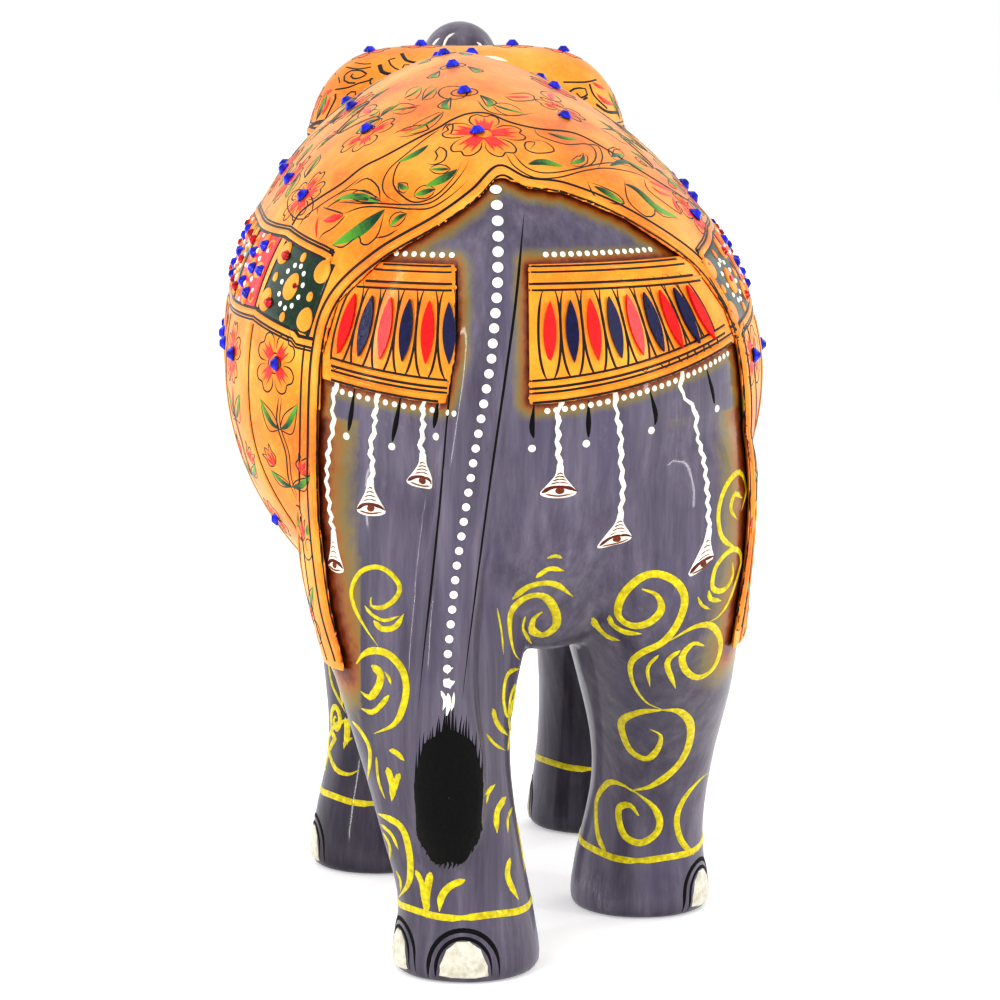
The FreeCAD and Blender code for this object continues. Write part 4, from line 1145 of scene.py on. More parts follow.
def flank_path(skin, word):
    """Spots along the middle of the band, a millimetre apart, from its rear end forward."""
    side = SIDES[word]
    step = CHECK_LENGTH / CHECK_STEPS
    skipped = 4                          # the path is found from clear of the cut edge, and run back to it
    start = CHECK_START_Y[word] + skipped * step * 0.8
    spot, normal = skin.ray(*from_side(side)(start, CHECK_REAR_Z))
    ahead = Vector((0, 0, 1)).cross(normal).normalized() * side
    path = [(spot - ahead * step * (skipped - k), normal) for k in range(skipped)] + [(spot, normal)]
    for k in range(skipped + 1, CHECK_COUNT * CHECK_STEPS - 8):
        ahead = Vector((0, 0, 1)).cross(normal).normalized() * side
        target = spot + ahead * step
        target.z = CHECK_REAR_Z + (CHECK_Z - CHECK_REAR_Z) * min(1.0, k / CHECK_STEPS)
        spot, normal = skin.settle(target)
        path.append((spot, normal))
    return path


def path_seat(skin, path, index):
    """A seat on the band, its own across running forward on the right side and to the rear on the left."""
    index = min(index, len(path) - 3)
    spot, normal = path[index]
    ahead = (path[index + 2][0] - path[index - 2][0]).normalized()
    up = normal.cross(ahead)
    if up.z < 0:
        up = -up
    return Seat(skin, spot, normal, up)


def box_outline(wide, tall, count=7):
    points = []
    for k in range(count):
        points.append((-wide + 2 * wide * k / count, -tall))
    for k in range(count):
        points.append((wide, -tall + 2 * tall * k / count))
    for k in range(count):
        points.append((wide - 2 * wide * k / count, tall))
    for k in range(count):
        points.append((-wide, tall - 2 * tall * k / count))
    return points


def egg_outline(x, y, wide, tall, turn=0.0, count=18):
    """An oval that is a little fuller at one end."""
    a = math.radians(turn)
    points = []
    for k in range(count):
        b = 2 * math.pi * k / count
        px = wide * math.cos(b) * (1 - 0.14 * math.sin(b))
        py = tall * math.sin(b)
        points.append((x + px * math.cos(a) - py * math.sin(a), y + px * math.sin(a) + py * math.cos(a)))
    return points


GROUND_RINGS = (0.0, 0.2, 0.4, 0.6, 0.8, 0.95, 1.0)


def green_square(seat, ground, gold, white):
    seat.patch(ground, box_outline(*SQUARE_HALF), 0.16, GROUND_RINGS, 0.0)
    raised = Lifted(seat, 0.14)
    along, up = RED_CORNER
    for x in (-along, along):
        for y in (-up, up):
            raised.patch(gold, egg_outline(x, y + 0.4, 2.5, 3.0), 0.4, centre=(x, y + 0.4))
    raised.patch(gold, egg_outline(0, 0, 2.5, 3.5, -8), 0.4)
    for k in range(11):
        turn = 2 * math.pi * (k + 0.5) / 11
        raised.dome(white, 4.1 * math.cos(turn), 5.3 * math.sin(turn), 0.62, 0.68, 0.4)
    for x, y in ((0, 7.4), (0.6, -7.4), (-7.6, 0.3), (7.6, -0.2)):
        raised.patch(gold, egg_outline(x, y, 0.95, 1.25), 0.3, centre=(x, y))


def red_square(seat, side, ground, gold, white):
    seat.patch(ground, box_outline(*SQUARE_HALF), 0.16, GROUND_RINGS, 0.0)
    raised = Lifted(seat, 0.14)
    raised.patch(gold, egg_outline(0, 0, 2.6, 2.6), 0.4)
    for k in range(RING_COUNT):
        turn = math.pi + 2 * math.pi * k / RING_COUNT
        x, y = side * RING_R * math.cos(turn), RING_R * math.sin(turn)
        degrees = math.degrees(math.atan2(y, x)) - 90
        egg = (x * 1.05, y * 1.05)
        raised.patch(gold, egg_outline(*egg, 2.1, 3.0, degrees), 0.4, centre=egg)
        between = turn + math.pi / RING_COUNT
        for reach, size in ((4.4, 0.75), (8.6, 0.6)):
            bx, by = side * reach * math.cos(between), reach * math.sin(between)
            if abs(by) < 8.2:
                raised.dome(white, bx, by, size, size, 0.4)
    for x in (-1, 1):
        for y in (-1, 1):
            curl = []
            for t in (0.2 + 0.8 * k for k in range(9)):
                inward = 1 - t / 9
                curl.append((x * (7.2 + 2.2 * math.cos(t) * inward), y * (6.2 + 1.9 * math.sin(t) * inward)))
            raised.line(gold, curl, 0.6, 0.25)


def band_line(skin, paint, path, up, width, height=0.2):
    spots = []
    for index in range(2, len(path) - 2):
        spot, normal = path[index]
        ahead = (path[index + 2][0] - path[index - 2][0]).normalized()
        rise = normal.cross(ahead)
        if rise.z < 0:
            rise = -rise
        spots.append(skin.settle(spot + rise * up))
    ribbon(paint, skin, spots, width, height, even_profile, False, 0.6)


def chequered_band(skin, word, paints):
    side = SIDES[word]
    path = flank_path(skin, word)
    lines, gold = paints["line"], paints["gold"]
    for up in (-1, 1):
        band_line(skin, gold, path, up * (SQUARE_HALF[1] + 1.1), 1.7, 0.4)
        for off, width in ((0.1, 0.75), (2.1, 0.5), (2.9, 0.4)):
            band_line(skin, lines, path, up * (SQUARE_HALF[1] + off), width)
    for k in range(CHECK_COUNT):
        seat = path_seat(skin, path, CHECK_STEPS * k + CHECK_STEPS // 2)
        if k == CHECK_COUNT - 1 and len(path) < CHECK_COUNT * CHECK_STEPS - 10:
            continue
        if k % 2:
            red_square(seat, side, paints["crimson"], paints["gold"], paints["white"])
        else:
            green_square(seat, paints["dark_green"], paints["gold"], paints["white"])
        for x in (-1, 1):
            edge = [(x * (SQUARE_HALF[0] + 0.1), -SQUARE_HALF[1]), (x * (SQUARE_HALF[0] + 0.1), 0),
                    (x * (SQUARE_HALF[0] + 0.1), SQUARE_HALF[1])]
            seat.line(lines, edge, 0.5, 0.2, even_profile)
    return path


def tulip(seat, lines, red, x, y, size, turn=0.0):
    """A bud of three petals, red at the throat."""
    a = math.radians(turn)

    def at(px, py):
        turned = (px * math.cos(a) - py * math.sin(a), px * math.sin(a) + py * math.cos(a))
        return (x + size * turned[0], y + size * turned[1])
    for lean in (-1, 1):
        seat.line(lines, [at(0, 0), at(lean * 0.55, 0.3), at(lean * 0.5, 0.75), at(lean * 0.62, 1.15),
                          at(lean * 0.12, 0.8)], 0.32)
        throat = [at(0, 0.05), at(lean * 0.28, 0.42), at(lean * 0.36, 0.8)]
        seat.line(red, throat, 0.34 * size, 0.14, lens_profile)
    seat.line(lines, [at(-0.3, 0.75), at(0, 1.25), at(0.3, 0.75)], 0.3)
    seat.line(red, [at(0, 0.25), at(0, 0.6), at(0, 0.98)], 0.3 * size, 0.14, lens_profile)


def leaf_pair(seat, lines, green, y, reach, rise):
    for lean in (-1, 1):
        points = [(0, y), (lean * reach * 0.45, y + rise * 0.25), (lean * reach, y + rise)]
        seat.line(green, points, 2.0, 0.15, lens_profile)
        seat.line(lines, [(0, y), (lean * reach * 0.3, y + rise * 0.55), (lean * reach, y + rise)], 0.28)
        seat.line(lines, [(0, y), (lean * reach * 0.62, y - rise * 0.05), (lean * reach, y + rise)], 0.28)


def curl_pair(seat, lines, y, reach, lean=1):
    for side in (-1, 1):
        curl = spiral(reach, y, reach * 0.8, 1.4, 180, lean=lean)
        seat.line(lines, [(side * px, py) for px, py in curl], 0.3)


def panel(skin, word, path, k, paints):
    """What hangs below one square: a flower, a stem with leaves and a bud, and another flower or bud."""
    side = SIDES[word]
    lines, red, green = paints["line"], paints["red"], paints["green"]
    middle = path[min(CHECK_STEPS * k + CHECK_STEPS // 2, len(path) - 1)][0].y
    view = from_side(side)
    top = seat_in(skin, view, middle, 144.0)
    flower(top, lines, red, 7.4, 5 if k % 2 else 4, 45 if k % 2 == 0 else 0)
    seat = seat_in(skin, view, middle, 122.0)
    seat.line(lines, [(0.6, 14.5), (-0.8, 8), (0.9, 1), (-0.4, -6), (0.2, -12)], 0.4)
    seat.line(lines, [(1.7, 14.5), (0.4, 8), (2.1, 1), (0.8, -6), (1.0, -12)], 0.3)
    leaf_pair(seat, lines, green, 6.5, 7.5, 7.0)
    tulip(seat, lines, red, -4.6, -3.0, 4.2, 38)
    tulip(seat, lines, red, 4.9, -4.0, 4.2, -38)
    leaf_pair(seat, lines, green, -8.0, 8.0, 3.6)
    low = seat_in(skin, view, middle, 104.0)
    if k % 2:
        flower(low, lines, red, 5.6, 4, 45)
    else:
        tulip(low, lines, red, 0, -2.5, 5.0)
        curl_pair(low, lines, -3.0, 4.6)
    if k == 0:
        foot = seat_in(skin, view, middle, 88.0)
        leaf_pair(foot, lines, green, -2.0, 6.5, 6.0)
        tulip(foot, lines, red, 0, -6.0, 4.6)
        curl_pair(foot, lines, -8.0, 5.0, -1)


def panel_dividers(skin, word, path, paints):
    view = from_side(SIDES[word])
    for k in range(1, CHECK_COUNT):
        y = path[CHECK_STEPS * k][0].y
        low = hem_height(y) + 6
        points = [(y, 152.2), (y - 0.6, 138), (y + 0.4, 120), (y - 0.3, 105), (y, low)]
        double_line(skin, view, paints["line"], paints["gold"], points)


def hem_height(y):
    for (y0, z0), (y1, z1) in zip(HEM, HEM[1:]):
        if y0 <= y <= y1:
            return z0 + (z1 - z0) * (y - y0) / (y1 - y0)
    return HEM[-1][1]


def hem_border(skin, word, paints):
    """Fillets along the hem and a row of small drops between them."""
    view = from_side(SIDES[word])
    lines, gold = paints["line"], paints["gold"]
    ys = [-100 + 4 * k for k in range(32)]
    for off in (1.6, 6.4):
        flat = [(y, hem_height(y) + off) for y in ys]
        double_line(skin, view, lines, gold, flat, 1.3)
    for k in range(34):
        y = -104 + 3.7 * k
        seat = seat_in(skin, view, y, hem_height(y) + 4.0)
        if seat is not None:
            drop = egg_outline(0, 0, 0.9, 1.35, count=10)
            seat.patch(paints["red"] if k % 2 else paints["green"], drop, 0.25)
    front = [(CLOTH_FRONT - 1.6, z) for z in range(103, 152, 6)]
    double_line(skin, view, lines, gold, front, 1.4)


CLOTH_FRONT = 46.0 + SHIFT.y


FIELD_CURL = [(7.2, 3.0), (10.5, 6.0), (13.2, 3.5), (12.6, -0.8), (9.8, -0.6), (10.2, 2.0)]


def flank_field(skin, word, paints):
    """Flowers, leaves and drops between the chequered band and the spine."""
    side = SIDES[word]
    lines, red, green = paints["line"], paints["red"], paints["green"]
    forward = (0, 1, 0)
    for i, y in enumerate((-62, -36, -8, 20)):
        seat = seat_in(skin, around_barrel, y, side * 48.5, forward)
        flower(seat, lines, red, 7.4, 5, 18 * i)
        for lean in (-1, 1):
            if i:
                seat.line(lines, [(lean * a, b) for a, b in FIELD_CURL], 0.32)
        between = seat_in(skin, around_barrel, y + 14, side * 46, forward)
        for lean in (1, -1):
            blade = [(0, -4.5 * lean), (lean * 3.6, -1.0 * lean), (lean * 6.8, 2.6 * lean)]
            between.line(green, blade, 2.4, 0.15, lens_profile)
            between.line(lines, [(0, -4.5 * lean), (lean * 5.2, -2.6 * lean), (lean * 6.8, 2.6 * lean)], 0.3)
            between.line(lines, [(0, -4.5 * lean), (lean * 1.6, 1.6 * lean), (lean * 6.8, 2.6 * lean)], 0.3)
    for i, y in enumerate((-55, -15, 25)):
        degrees = -9 + side * 21
        seat = seat_in(skin, around_barrel, y, degrees, forward)
        if y > -50:
            flower(seat, lines, red, 6.6, 4, 45)
        ahead = seat_in(skin, around_barrel, y + 19, degrees - side * 2, forward)
        for lean in (-1, 1):
            ahead.line(lines, [(0, -6), (lean * 2.6, -2.0), (lean * 2.0, 2.6), (0, 6.0)], 0.3)
        ahead.line(red, [(0, -5), (0, 0), (0, 4.4)], 2.4, 0.15, lens_profile)


def spine_ornament(skin, paints):
    lines, green = paints["line"], paints["green"]
    for y in (-54, -24, 6, 32):
        seat = seat_in(skin, around_barrel, y, -9, (0, 1, 0))
        seat.line(lines, oval_outline(0, 0, 3.2, 3.2, 14), 0.34, 0.14, even_profile, True)
        for lean in (-1, 1):
            blade = [(lean * 3.5, -2.5), (lean * 5.6, -7), (lean * 4.6, -11.5)]
            seat.line(green, blade, 1.9, 0.15, lens_profile)
            seat.line(lines, [(lean * 3.5, -2.5), (lean * 7.2, -7), (lean * 4.6, -11.5)], 0.3)
            seat.line(lines, [(lean * 3.5, -2.5), (lean * 4.0, -7), (lean * 4.6, -11.5)], 0.3)


def front_rim(skin, paints):
    """The rolled edge of the cloth across the shoulders."""
    for off, width in ((0.5, 0.5), (2.4, 0.5), (5.0, 0.4)):
        ribbon(paints["line"], skin, across_back(skin, off), width, 0.2, even_profile, False, 0.5)
    ribbon(paints["gold"], skin, across_back(skin, 1.5), 1.6, 0.4, even_profile, False, 0.7)


def across_back(skin, off):
    """Spots across the shoulders, this far behind the front edge of the cloth."""
    spots = [skin.ray(*around_barrel(front_edge(degrees) - off, degrees)) for degrees in range(-72, 73, 6)]
    return dense([spot for spot in spots if spot], skin)


def front_edge(degrees):
    return 45.3 - 4.0 * max(0.0, math.cos(math.radians(degrees))) ** 2


def dense(spots, skin, step=1.0):
    """The same line with more spots, each settled on the skin."""
    line = smooth_line([tuple(spot) for spot, _ in spots], step)
    return [skin.settle(p) for p in line]


# ---------------------------------------------------------------- rump bands
BAND_TOP, BAND_LOW, BAND_RISE = 169.0, 136.8, 0.0032
SPINE_X = -8.0 + SHIFT.x
PETAL_Z, PETAL_PITCH, PETAL_LEAN = 153.5, 5.2, 2.8
PETAL_START_X = {"left": -18.0 + SHIFT.x, "right": 5.0 + SHIFT.x}
PETAL_COUNT = {"left": 6, "right": 9}


def band_low(x):
    return BAND_LOW + BAND_RISE * (x - SPINE_X) ** 2


def rump_ornament(skin, word, paints):
    side = SIDES[word]
    lines, gold = paints["line"], paints["band_gold"]
    xs = [SPINE_X + side * (8.4 + 2.0 * k) for k in range(28)]
    for off, width in ((0.5, 0.5), (1.7, 0.42), (4.4, 0.5), (5.8, 0.42)):
        rows_on(skin, lines, [(x, BAND_TOP - off) for x in xs], width)
    for off, width in ((0.5, 0.5), (2.7, 0.42), (3.8, 0.5), (5.6, 0.42)):
        rows_on(skin, lines, [(x, band_low(x) + off) for x in xs], width)
    for off in (1.1, 5.1):
        rows_on(skin, gold, [(x, BAND_TOP - off) for x in xs], 1.1, 0.4)
    for off in (1.6, 4.7):
        rows_on(skin, gold, [(x, band_low(x) + off) for x in xs], 1.4, 0.4)
    x = PETAL_START_X[word]
    spot, normal = skin.ray(*straight_back(x, petal_height(x)))
    for i in range(PETAL_COUNT[word]):
        lean = math.radians(PETAL_LEAN * i)
        out = normal.cross(Vector((0, 0, 1))).normalized()
        out = out * (side if out.x > 0 else -side)
        seat = Seat(skin, spot, normal, Vector((0, 0, 1)) * math.cos(lean) - out * math.sin(lean))
        for bow in (-1, 1):
            arc = [(bow * 2.6 * math.cos(math.pi / 2 * t / 5), 11.2 * math.sin(math.pi / 2 * t / 5) ** 0.9)
                   for t in range(6)]
            seat.line(lines, [(a, -b) for a, b in reversed(arc[1:])] + arc, 0.46, 0.16)
        target = spot + out * PETAL_PITCH
        target.z = petal_height(target.x)
        spot, normal = skin.settle(target)


def petal_height(x):
    return PETAL_Z + 0.35 * (band_low(x) - BAND_LOW)


def rows_on(skin, paint, points, width, height=0.16):
    """A line of level spots that stops where the skin does."""
    run = []
    for x, z in points:
        hit = skin.ray(*straight_back(x, z))
        if hit is not None and (not run or (hit[0] - run[-1][0]).length < 9):
            run.append(hit)
        elif run:
            break
    if len(run) > 2:
        ribbon(paint, skin, dense(run, skin), width, height, even_profile, False, 0.6)


# ---------------------------------------------------------------- vines of the field
VINE_BEND = 13.0             # from one bend of the stem to the next


def vine(skin, paints, first, last, degrees, sway):
    """A wavy stem along the back with a leaf, a curl or a bud at each bend."""
    lines, red, green = paints["line"], paints["red"], paints["green"]
    bends = int((last - first) / VINE_BEND)
    for twin in (0, 1.1):
        points = [(first + VINE_BEND * k / 3 + twin, degrees + sway * math.sin(math.pi * k / 3))
                  for k in range(3 * bends + 1)]
        stroke(lines, skin, around_barrel, points, 0.34)
    for k in range(bends):
        lean = 1 if k % 2 == 0 else -1
        bend = (first + VINE_BEND * (k + 0.5), degrees + lean * abs(sway))
        seat = seat_in(skin, around_barrel, *bend, (0, 1, 0))
        lean = lean * (1 if sway > 0 else -1)
        leaf_on(seat, lines, green, [(0, -1), (-lean * 3.6, 1.4), (-lean * 7.4, -0.6)], 2.3)
        leaf_on(seat, lines, green, [(0, 0.5), (lean * 2.8, 3.2), (lean * 6.0, 3.4)], 2.0)
        if k % 2:
            tulip(seat, lines, red, lean * 0.5, 1.8, 3.8, -lean * 24)
        else:
            seat.line(lines, spiral(-lean * 3.6, -4.4, 2.4, 1.5, 90, lean=lean), 0.32)


def leaf_on(seat, lines, green, points, width):
    """A leaf on a seat, with an outline that leaves it a narrow gold edge."""
    seat.line(green, points, width, 0.15, lens_profile)
    (x0, y0), (x1, y1), (x2, y2) = points
    for off in (-1, 1):
        away = Vector((y0 - y2, x2 - x0)).normalized() * off * (width * 0.5 + 0.45)
        seat.line(lines, [(x0, y0), (x1 + away.x, y1 + away.y), (x2, y2)], 0.3)


# ---------------------------------------------------------------- head cloth
#    Dark lines of the head cloth seen from behind: width, points
CAP_LINES = [
    (0.9, [(-26.5, 217), (-25.5, 215.5), (-23.5, 215), (-21.5, 214.2), (-19.5, 214)]),
    (1.0, [(-31.5, 214.5), (-31, 213), (-29.5, 212.5), (-27, 212)]),
    (0.45, [(-28, 216), (-29.5, 215.5), (-29, 214.5), (-28, 213.7), (-26.5, 213.2)]),
    (0.4, [(-24, 213.5), (-25, 214.5), (-26, 214.5), (-26.5, 213.5), (-26, 213), (-25.5, 213)]),
    (0.45, [(-39, 214), (-36.5, 213.6), (-33.5, 214)]), (0.35, [(-37, 215), (-35, 214.7), (-33.5, 214.8)]),
    (0.5, [(-37, 210.5), (-38.5, 210.5), (-39.5, 211), (-39.5, 212), (-38, 213.2), (-35.5, 213.2),
           (-34.5, 212.5), (-36, 211.6), (-37.5, 211.5), (-38, 212), (-37.5, 212.5)]),
    (0.4, [(-41.5, 212.5), (-40.7, 211.5), (-40.5, 210.5)]),
    (0.5, [(-41.5, 209), (-38.5, 209.5), (-36.5, 210.3), (-34, 211), (-33, 211.5)]),
    (0.45, [(-33.5, 211.5), (-33.7, 210.5), (-33, 209.6), (-31.5, 209.4), (-29.5, 210), (-28.5, 211)]),
    (0.4, [(-27.5, 211), (-26, 210.8), (-25, 211.3), (-25.5, 212)]),
    (0.45, [(-39, 206), (-39.5, 207), (-38, 208.5), (-37, 208.5), (-37, 207.5), (-38, 206.5), (-39, 207),
            (-38.5, 207.5)]),
    (0.6, [(-41.5, 208), (-41.5, 207), (-43, 204), (-44, 202)]),
    (1.0, [(-47.5, 200.5), (-46, 201.5), (-43.5, 202)]), (0.8, [(-46.5, 205), (-45.5, 205.5), (-44.5, 206)]),
    (0.5, [(15.5, 207), (13, 206), (11, 207.5), (12.5, 209), (15, 209), (15.5, 207.7), (14, 207),
           (13, 208)]),
    (0.5, [(10, 210.5), (15, 210.5), (17.5, 211)]), (0.6, [(16, 210), (17, 207.5), (20, 204.5)]),
    (0.8, [(17.5, 205.5), (20, 203.8), (22.5, 203.5), (24, 202.5)]),
]
CAP_REDS = [(2.2, [(-44.5, 207.2), (-43.4, 208.3), (-42, 209)]), (2.4, [(-44.6, 203.2), (-43.5, 205.5),
                                                                        (-42.5, 207.5)]),
            (2.0, [(-43.2, 210.3), (-42, 211)]), (2.0, [(16.5, 210.4), (18, 209.6), (19.5, 209)]),
            (2.2, [(17.5, 208), (19, 206.5), (21.5, 205.3)])]
CAP_HEM_Z = 187.0
HEAD_X = SHIFT.x


def cap_hem(off):
    """Points along the side of the head cloth, this far above its hem."""
    return [(y, CAP_HEM_Z + off) for y in range(41, 97, 5)]


def cap_ornament(skin, paints):
    """Scrollwork, flowers round the stones and a fillet along the hem of the head cloth."""
    lines, red, green, gold = (paints[name] for name in ("line", "red", "green", "head_gold"))
    for width, points in CAP_LINES:
        stroke(lines, skin, from_behind, points, width, 0.16, even_profile)
    for width, points in CAP_REDS:
        stroke(red, skin, from_behind, points, width, 0.15, lens_profile)
    for x, y in ((-27, 84), (-13, 84), (12, 84), (26, 84), (0, 98)):
        seat = seat_in(skin, from_above, x + SHIFT.x, y + SHIFT.y, (0, 1, 0))
        flower(seat, lines, red, 5.8, 4, 45)
    crest = seat_in(skin, from_above, SHIFT.x, 73 + SHIFT.y, (0, 1, 0))
    for k in range(5):
        turn = math.radians(-60 + 30 * k)
        tip = (11 * math.sin(turn), -10 * math.cos(turn))
        plume = [(0, -2.2), (tip[0] * 0.6, tip[1] * 0.55), tip]
        crest.line(paints["blue"] if k % 2 else paints["white"], plume, 2.3, 0.18, lens_profile)
    for side in (-1, 1):
        for y, z in ((62, 196), (78, 197)):
            seat = seat_in(skin, from_side(side), y, z)
            if seat is not None:
                flower(seat, lines, red, 5.6, 5)
        for y in (54, 70, 86):
            seat = seat_in(skin, from_side(side), y, 196)
            if seat is not None:
                leaf_on(seat, lines, green, [(0, -4), (0.6, 0), (0, 4.6)], 2.2)
        for off, width in ((1.4, 0.5), (3.4, 0.5), (4.6, 0.35)):
            stroke(lines, skin, from_side(side), cap_hem(off), width, 0.16, even_profile)
        stroke(gold, skin, from_side(side), cap_hem(2.4), 1.6, 0.4, even_profile, tone=0.6)
        for x in (13, 24):
            seat = seat_in(skin, from_front, HEAD_X + side * x, 196.5 - x * 0.12)
            if seat is not None:
                flower(seat, lines, red, 5.2, 5, 10 * x)
        seat = seat_in(skin, from_front, HEAD_X + side * 18.5, 203)
        if seat is not None:
            leaf_on(seat, lines, green, [(-side * 3, -2), (0, 0.5), (side * 4, 1.5)], 2.2)
    brow = [(-36, 187), (-30, 187), (-16, 183), (0, 176), (16, 183), (30, 187), (36, 187)]
    for off, width in ((1.5, 0.5), (3.6, 0.5), (4.8, 0.35)):
        rim = [(x + HEAD_X, z + off) for x, z in brow]
        stroke(lines, skin, from_front, rim, width, 0.16, even_profile)
    rim = [(x + HEAD_X, z + 2.5) for x, z in brow]
    stroke(gold, skin, from_front, rim, 1.6, 0.4, even_profile, tone=0.6)


def ear_ornament(skin, side, paints):
    """A border, a flower and leaves on the outer face of an ear."""
    lines, red, green = paints["line"], paints["red"], paints["green"]
    for view, x, z in ((from_front, HEAD_X + side * 47, 150.0), (from_side(side), 58.0, 150.0)):
        seat = seat_in(skin, view, x, z)
        if seat is None:
            continue
        seat.line(lines, oval_outline(0, -1, 7.4, 25, 30), 0.45, 0.16, even_profile, True)
        seat.line(lines, oval_outline(0, -1, 6.3, 23.6, 30), 0.3, 0.16, even_profile, True)
        flower(seat, lines, red, 5.4, 5, 0)
        seat.line(lines, [(0, -6), (0.8, -11), (-0.6, -16)], 0.4)
        leaf_on(seat, lines, green, [(0, -8), (2.2, -5.6), (4.4, -6.2)], 1.8)
        leaf_on(seat, lines, green, [(0.4, -11), (-2.0, -9.4), (-4.4, -10)], 1.8)
        tulip(seat, lines, red, -0.6, -20.5, 3.6, 0)
        leaf_on(seat, lines, green, [(0, 7), (-1.6, 11), (-0.6, 15)], 2.0)
        leaf_on(seat, lines, green, [(0, 7), (2.0, 10), (2.4, 14)], 1.8)


# ---------------------------------------------------------------- face, trunk and forelegs
EYE_Y, EYE_Z = 72.0, 163.0


def eyes(skin, paints):
    for side in (-1, 1):
        seat = seat_in(skin, from_side(side), EYE_Y, EYE_Z)
        almond = [(-5.2, 0.2), (-2.8, 2.2), (0.4, 2.8), (3.4, 1.8), (5.4, -0.4), (2.6, -1.9), (-0.6, -2.2),
                  (-3.4, -1.4)]
        shape = [(p.x, p.y) for p in smooth_line([(a, b, 0) for a, b in almond], 0.6, True)]
        seat.patch(paints["white"], shape, 0.3, crown=0.2)
        over = Lifted(seat, 0.26)
        over.dome(paints["bell_brown"], 0.2, 0.2, 1.9, 2.0, 0.3, tone=0.2)
        over.dome(paints["black"], 0.2, 0.2, 0.95, 1.0, 0.42)
        seat.line(paints["black"], almond, 0.75, 0.35, even_profile, True)
        seat.line(paints["black"], [(-6.6, 2.4), (-3, 4.9), (1.2, 5.3), (5.2, 3.2), (7.2, 0.6)], 0.9, 0.2)
        for k in range(5):
            x = -3.6 + 1.9 * k
            lash = [(x, 5.0 - 0.1 * k), (x - 0.4, 6.6), (x - 1.2, 8.0)]
            seat.line(paints["black"], lash, 0.6, 0.16, lambda t: 1.1 - t)
        seat.line(paints["black"], [(-5.0, -2.4), (-1.0, -4.0), (3.4, -3.6)], 0.5, 0.16)


def trunk_bands(skin, paints):
    """Pale curved strokes on the back of the raised trunk and dark wrinkles on its front."""
    for points, width in (([(-18, 220.5), (-19.3, 219.2), (-19.6, 217.4), (-18.6, 215)], 1.5),
                          ([(-14.6, 221.6), (-16.2, 220.6), (-17.0, 218.8), (-17.2, 216.4)], 1.1),
                          ([(-21.2, 218.6), (-21.6, 217), (-21.4, 215.6)], 1.0),
                          ([(-9.6, 219.6), (-8.4, 218.4), (-8.0, 216.8)], 1.2)):
        stroke(paints["white"], skin, from_behind, points, width, 0.16)
    for k in range(13):
        z = 124.0 + 6.6 * k
        half = 9.5 - 0.25 * k
        arc = [(HEAD_X + half * t, z - 1.6 * (1 - t * t)) for t in (-1, -0.5, 0, 0.5, 1)]
        stroke(paints["black"], skin, from_front, arc, 0.55, 0.14, lens_profile)
        if k % 2:
            pale = [(HEAD_X + half * 0.8 * t, z + 2.0 - 1.4 * (1 - t * t)) for t in (-1, -0.5, 0, 0.5, 1)]
            stroke(paints["white"], skin, from_front, pale, 0.5, 0.14, lens_profile)


def face_ornament(skin, paints):
    """White dots under the brow of the head cloth, and a mouth line on each side."""
    brow = [(-29, 184.2), (-16, 180.4), (0, 173.2), (16, 180.4), (29, 184.2)]
    for p in smooth_line([(x + HEAD_X, z, 0) for x, z in brow], 3.2):
        seat = seat_in(skin, from_front, p.x, p.y)
        if seat is not None:
            seat.dome(paints["white"], 0, 0, 0.9, 0.9, 0.4)
    for side in (-1, 1):
        mouth = [(80, 133.5), (87, 130), (95, 129.5), (103, 132)]
        stroke(paints["black"], skin, from_side(side), mouth, 1.0, 0.16)
        stroke(paints["black"], skin, from_side(side), [(83, 129.2), (89, 127), (96, 127)], 0.6, 0.16)


def leg_scroll(skin, yellow, view, x, z, size, lean):
    """A spiral with a sweeping tail and two short strokes beside it."""
    curl = spiral(x, z, size, 1.6, -90, lean=lean)
    tail = [(x + lean * size * out, z - size * down) for out, down in ((1.3, 3.0), (1.1, 2.0), (0.4, 1.3))]
    stroke(yellow, skin, view, tail + curl, 1.9, 0.22)
    for k in (0, 1):
        out = x - lean * size * (1.25 + 0.3 * k)
        beside = [(out, z + size * 0.3), (out - lean * 0.4, z - size * 0.5), (out, z - size * 1.2)]
        stroke(yellow, skin, view, beside, 1.3, 0.2)


#    Where scrolls stand round each leg, in degrees from the rear towards the right
LEG_SCROLLS = {"left_fore": (-150, -75, 150), "right_fore": (150, 75, -150), "left_hind": (-105,),
               "right_hind": (120,)}


def leg_scrolls(skin, yellow):
    around = math.radians(1) * FOOT_RADIUS
    for leg, turns in LEG_SCROLLS.items():
        view = leg_view(leg)
        for i, degrees in enumerate(turns):
            lean = 1 if i % 2 else -1
            leg_scroll(skin, yellow, view, degrees * around, 64 - 4 * i, 5.6, lean)
            leg_scroll(skin, yellow, view, degrees * around + lean * 3, 37 + 2 * i, 4.8, -lean)


#    Black lines along both sides of the tail, painted shade where the raised tail meets the body
TAIL_SHADE_LINES = [
    [(-14.1, 169.9), (-14.4, 154.4), (-16.5, 133.8), (-18.1, 115.3), (-20, 96.8), (-21.9, 80.5),
     (-23.3, 66.4)],
    [(1.1, 180.5), (-0.7, 161.2), (-3.2, 142.9), (-6.2, 122.1), (-9, 101.3), (-11.7, 80.3), (-13.1, 68.6)],
]


#    Thin white smears above the tuft: width, points
TAIL_SMEARS = [
    (2.2, [(-17.2, 76.5), (-16.4, 75.6), (-15.2, 76.2)]), (2.6, [(-17.4, 73.4), (-16, 72.4), (-14.8, 73)]),
    (1.0, [(-18, 70.8), (-17, 68.4), (-17.6, 66.2)]), (1.2, [(-16.4, 70.2), (-16.2, 67.6), (-16.8, 64.6)]),
    (0.8, [(-15, 70.4), (-15.2, 68), (-15.6, 66)]),
]


def tail_touches(skin, white):
    for width, points in TAIL_SMEARS:
        stroke(white, skin, from_behind, points, width, 0.15)


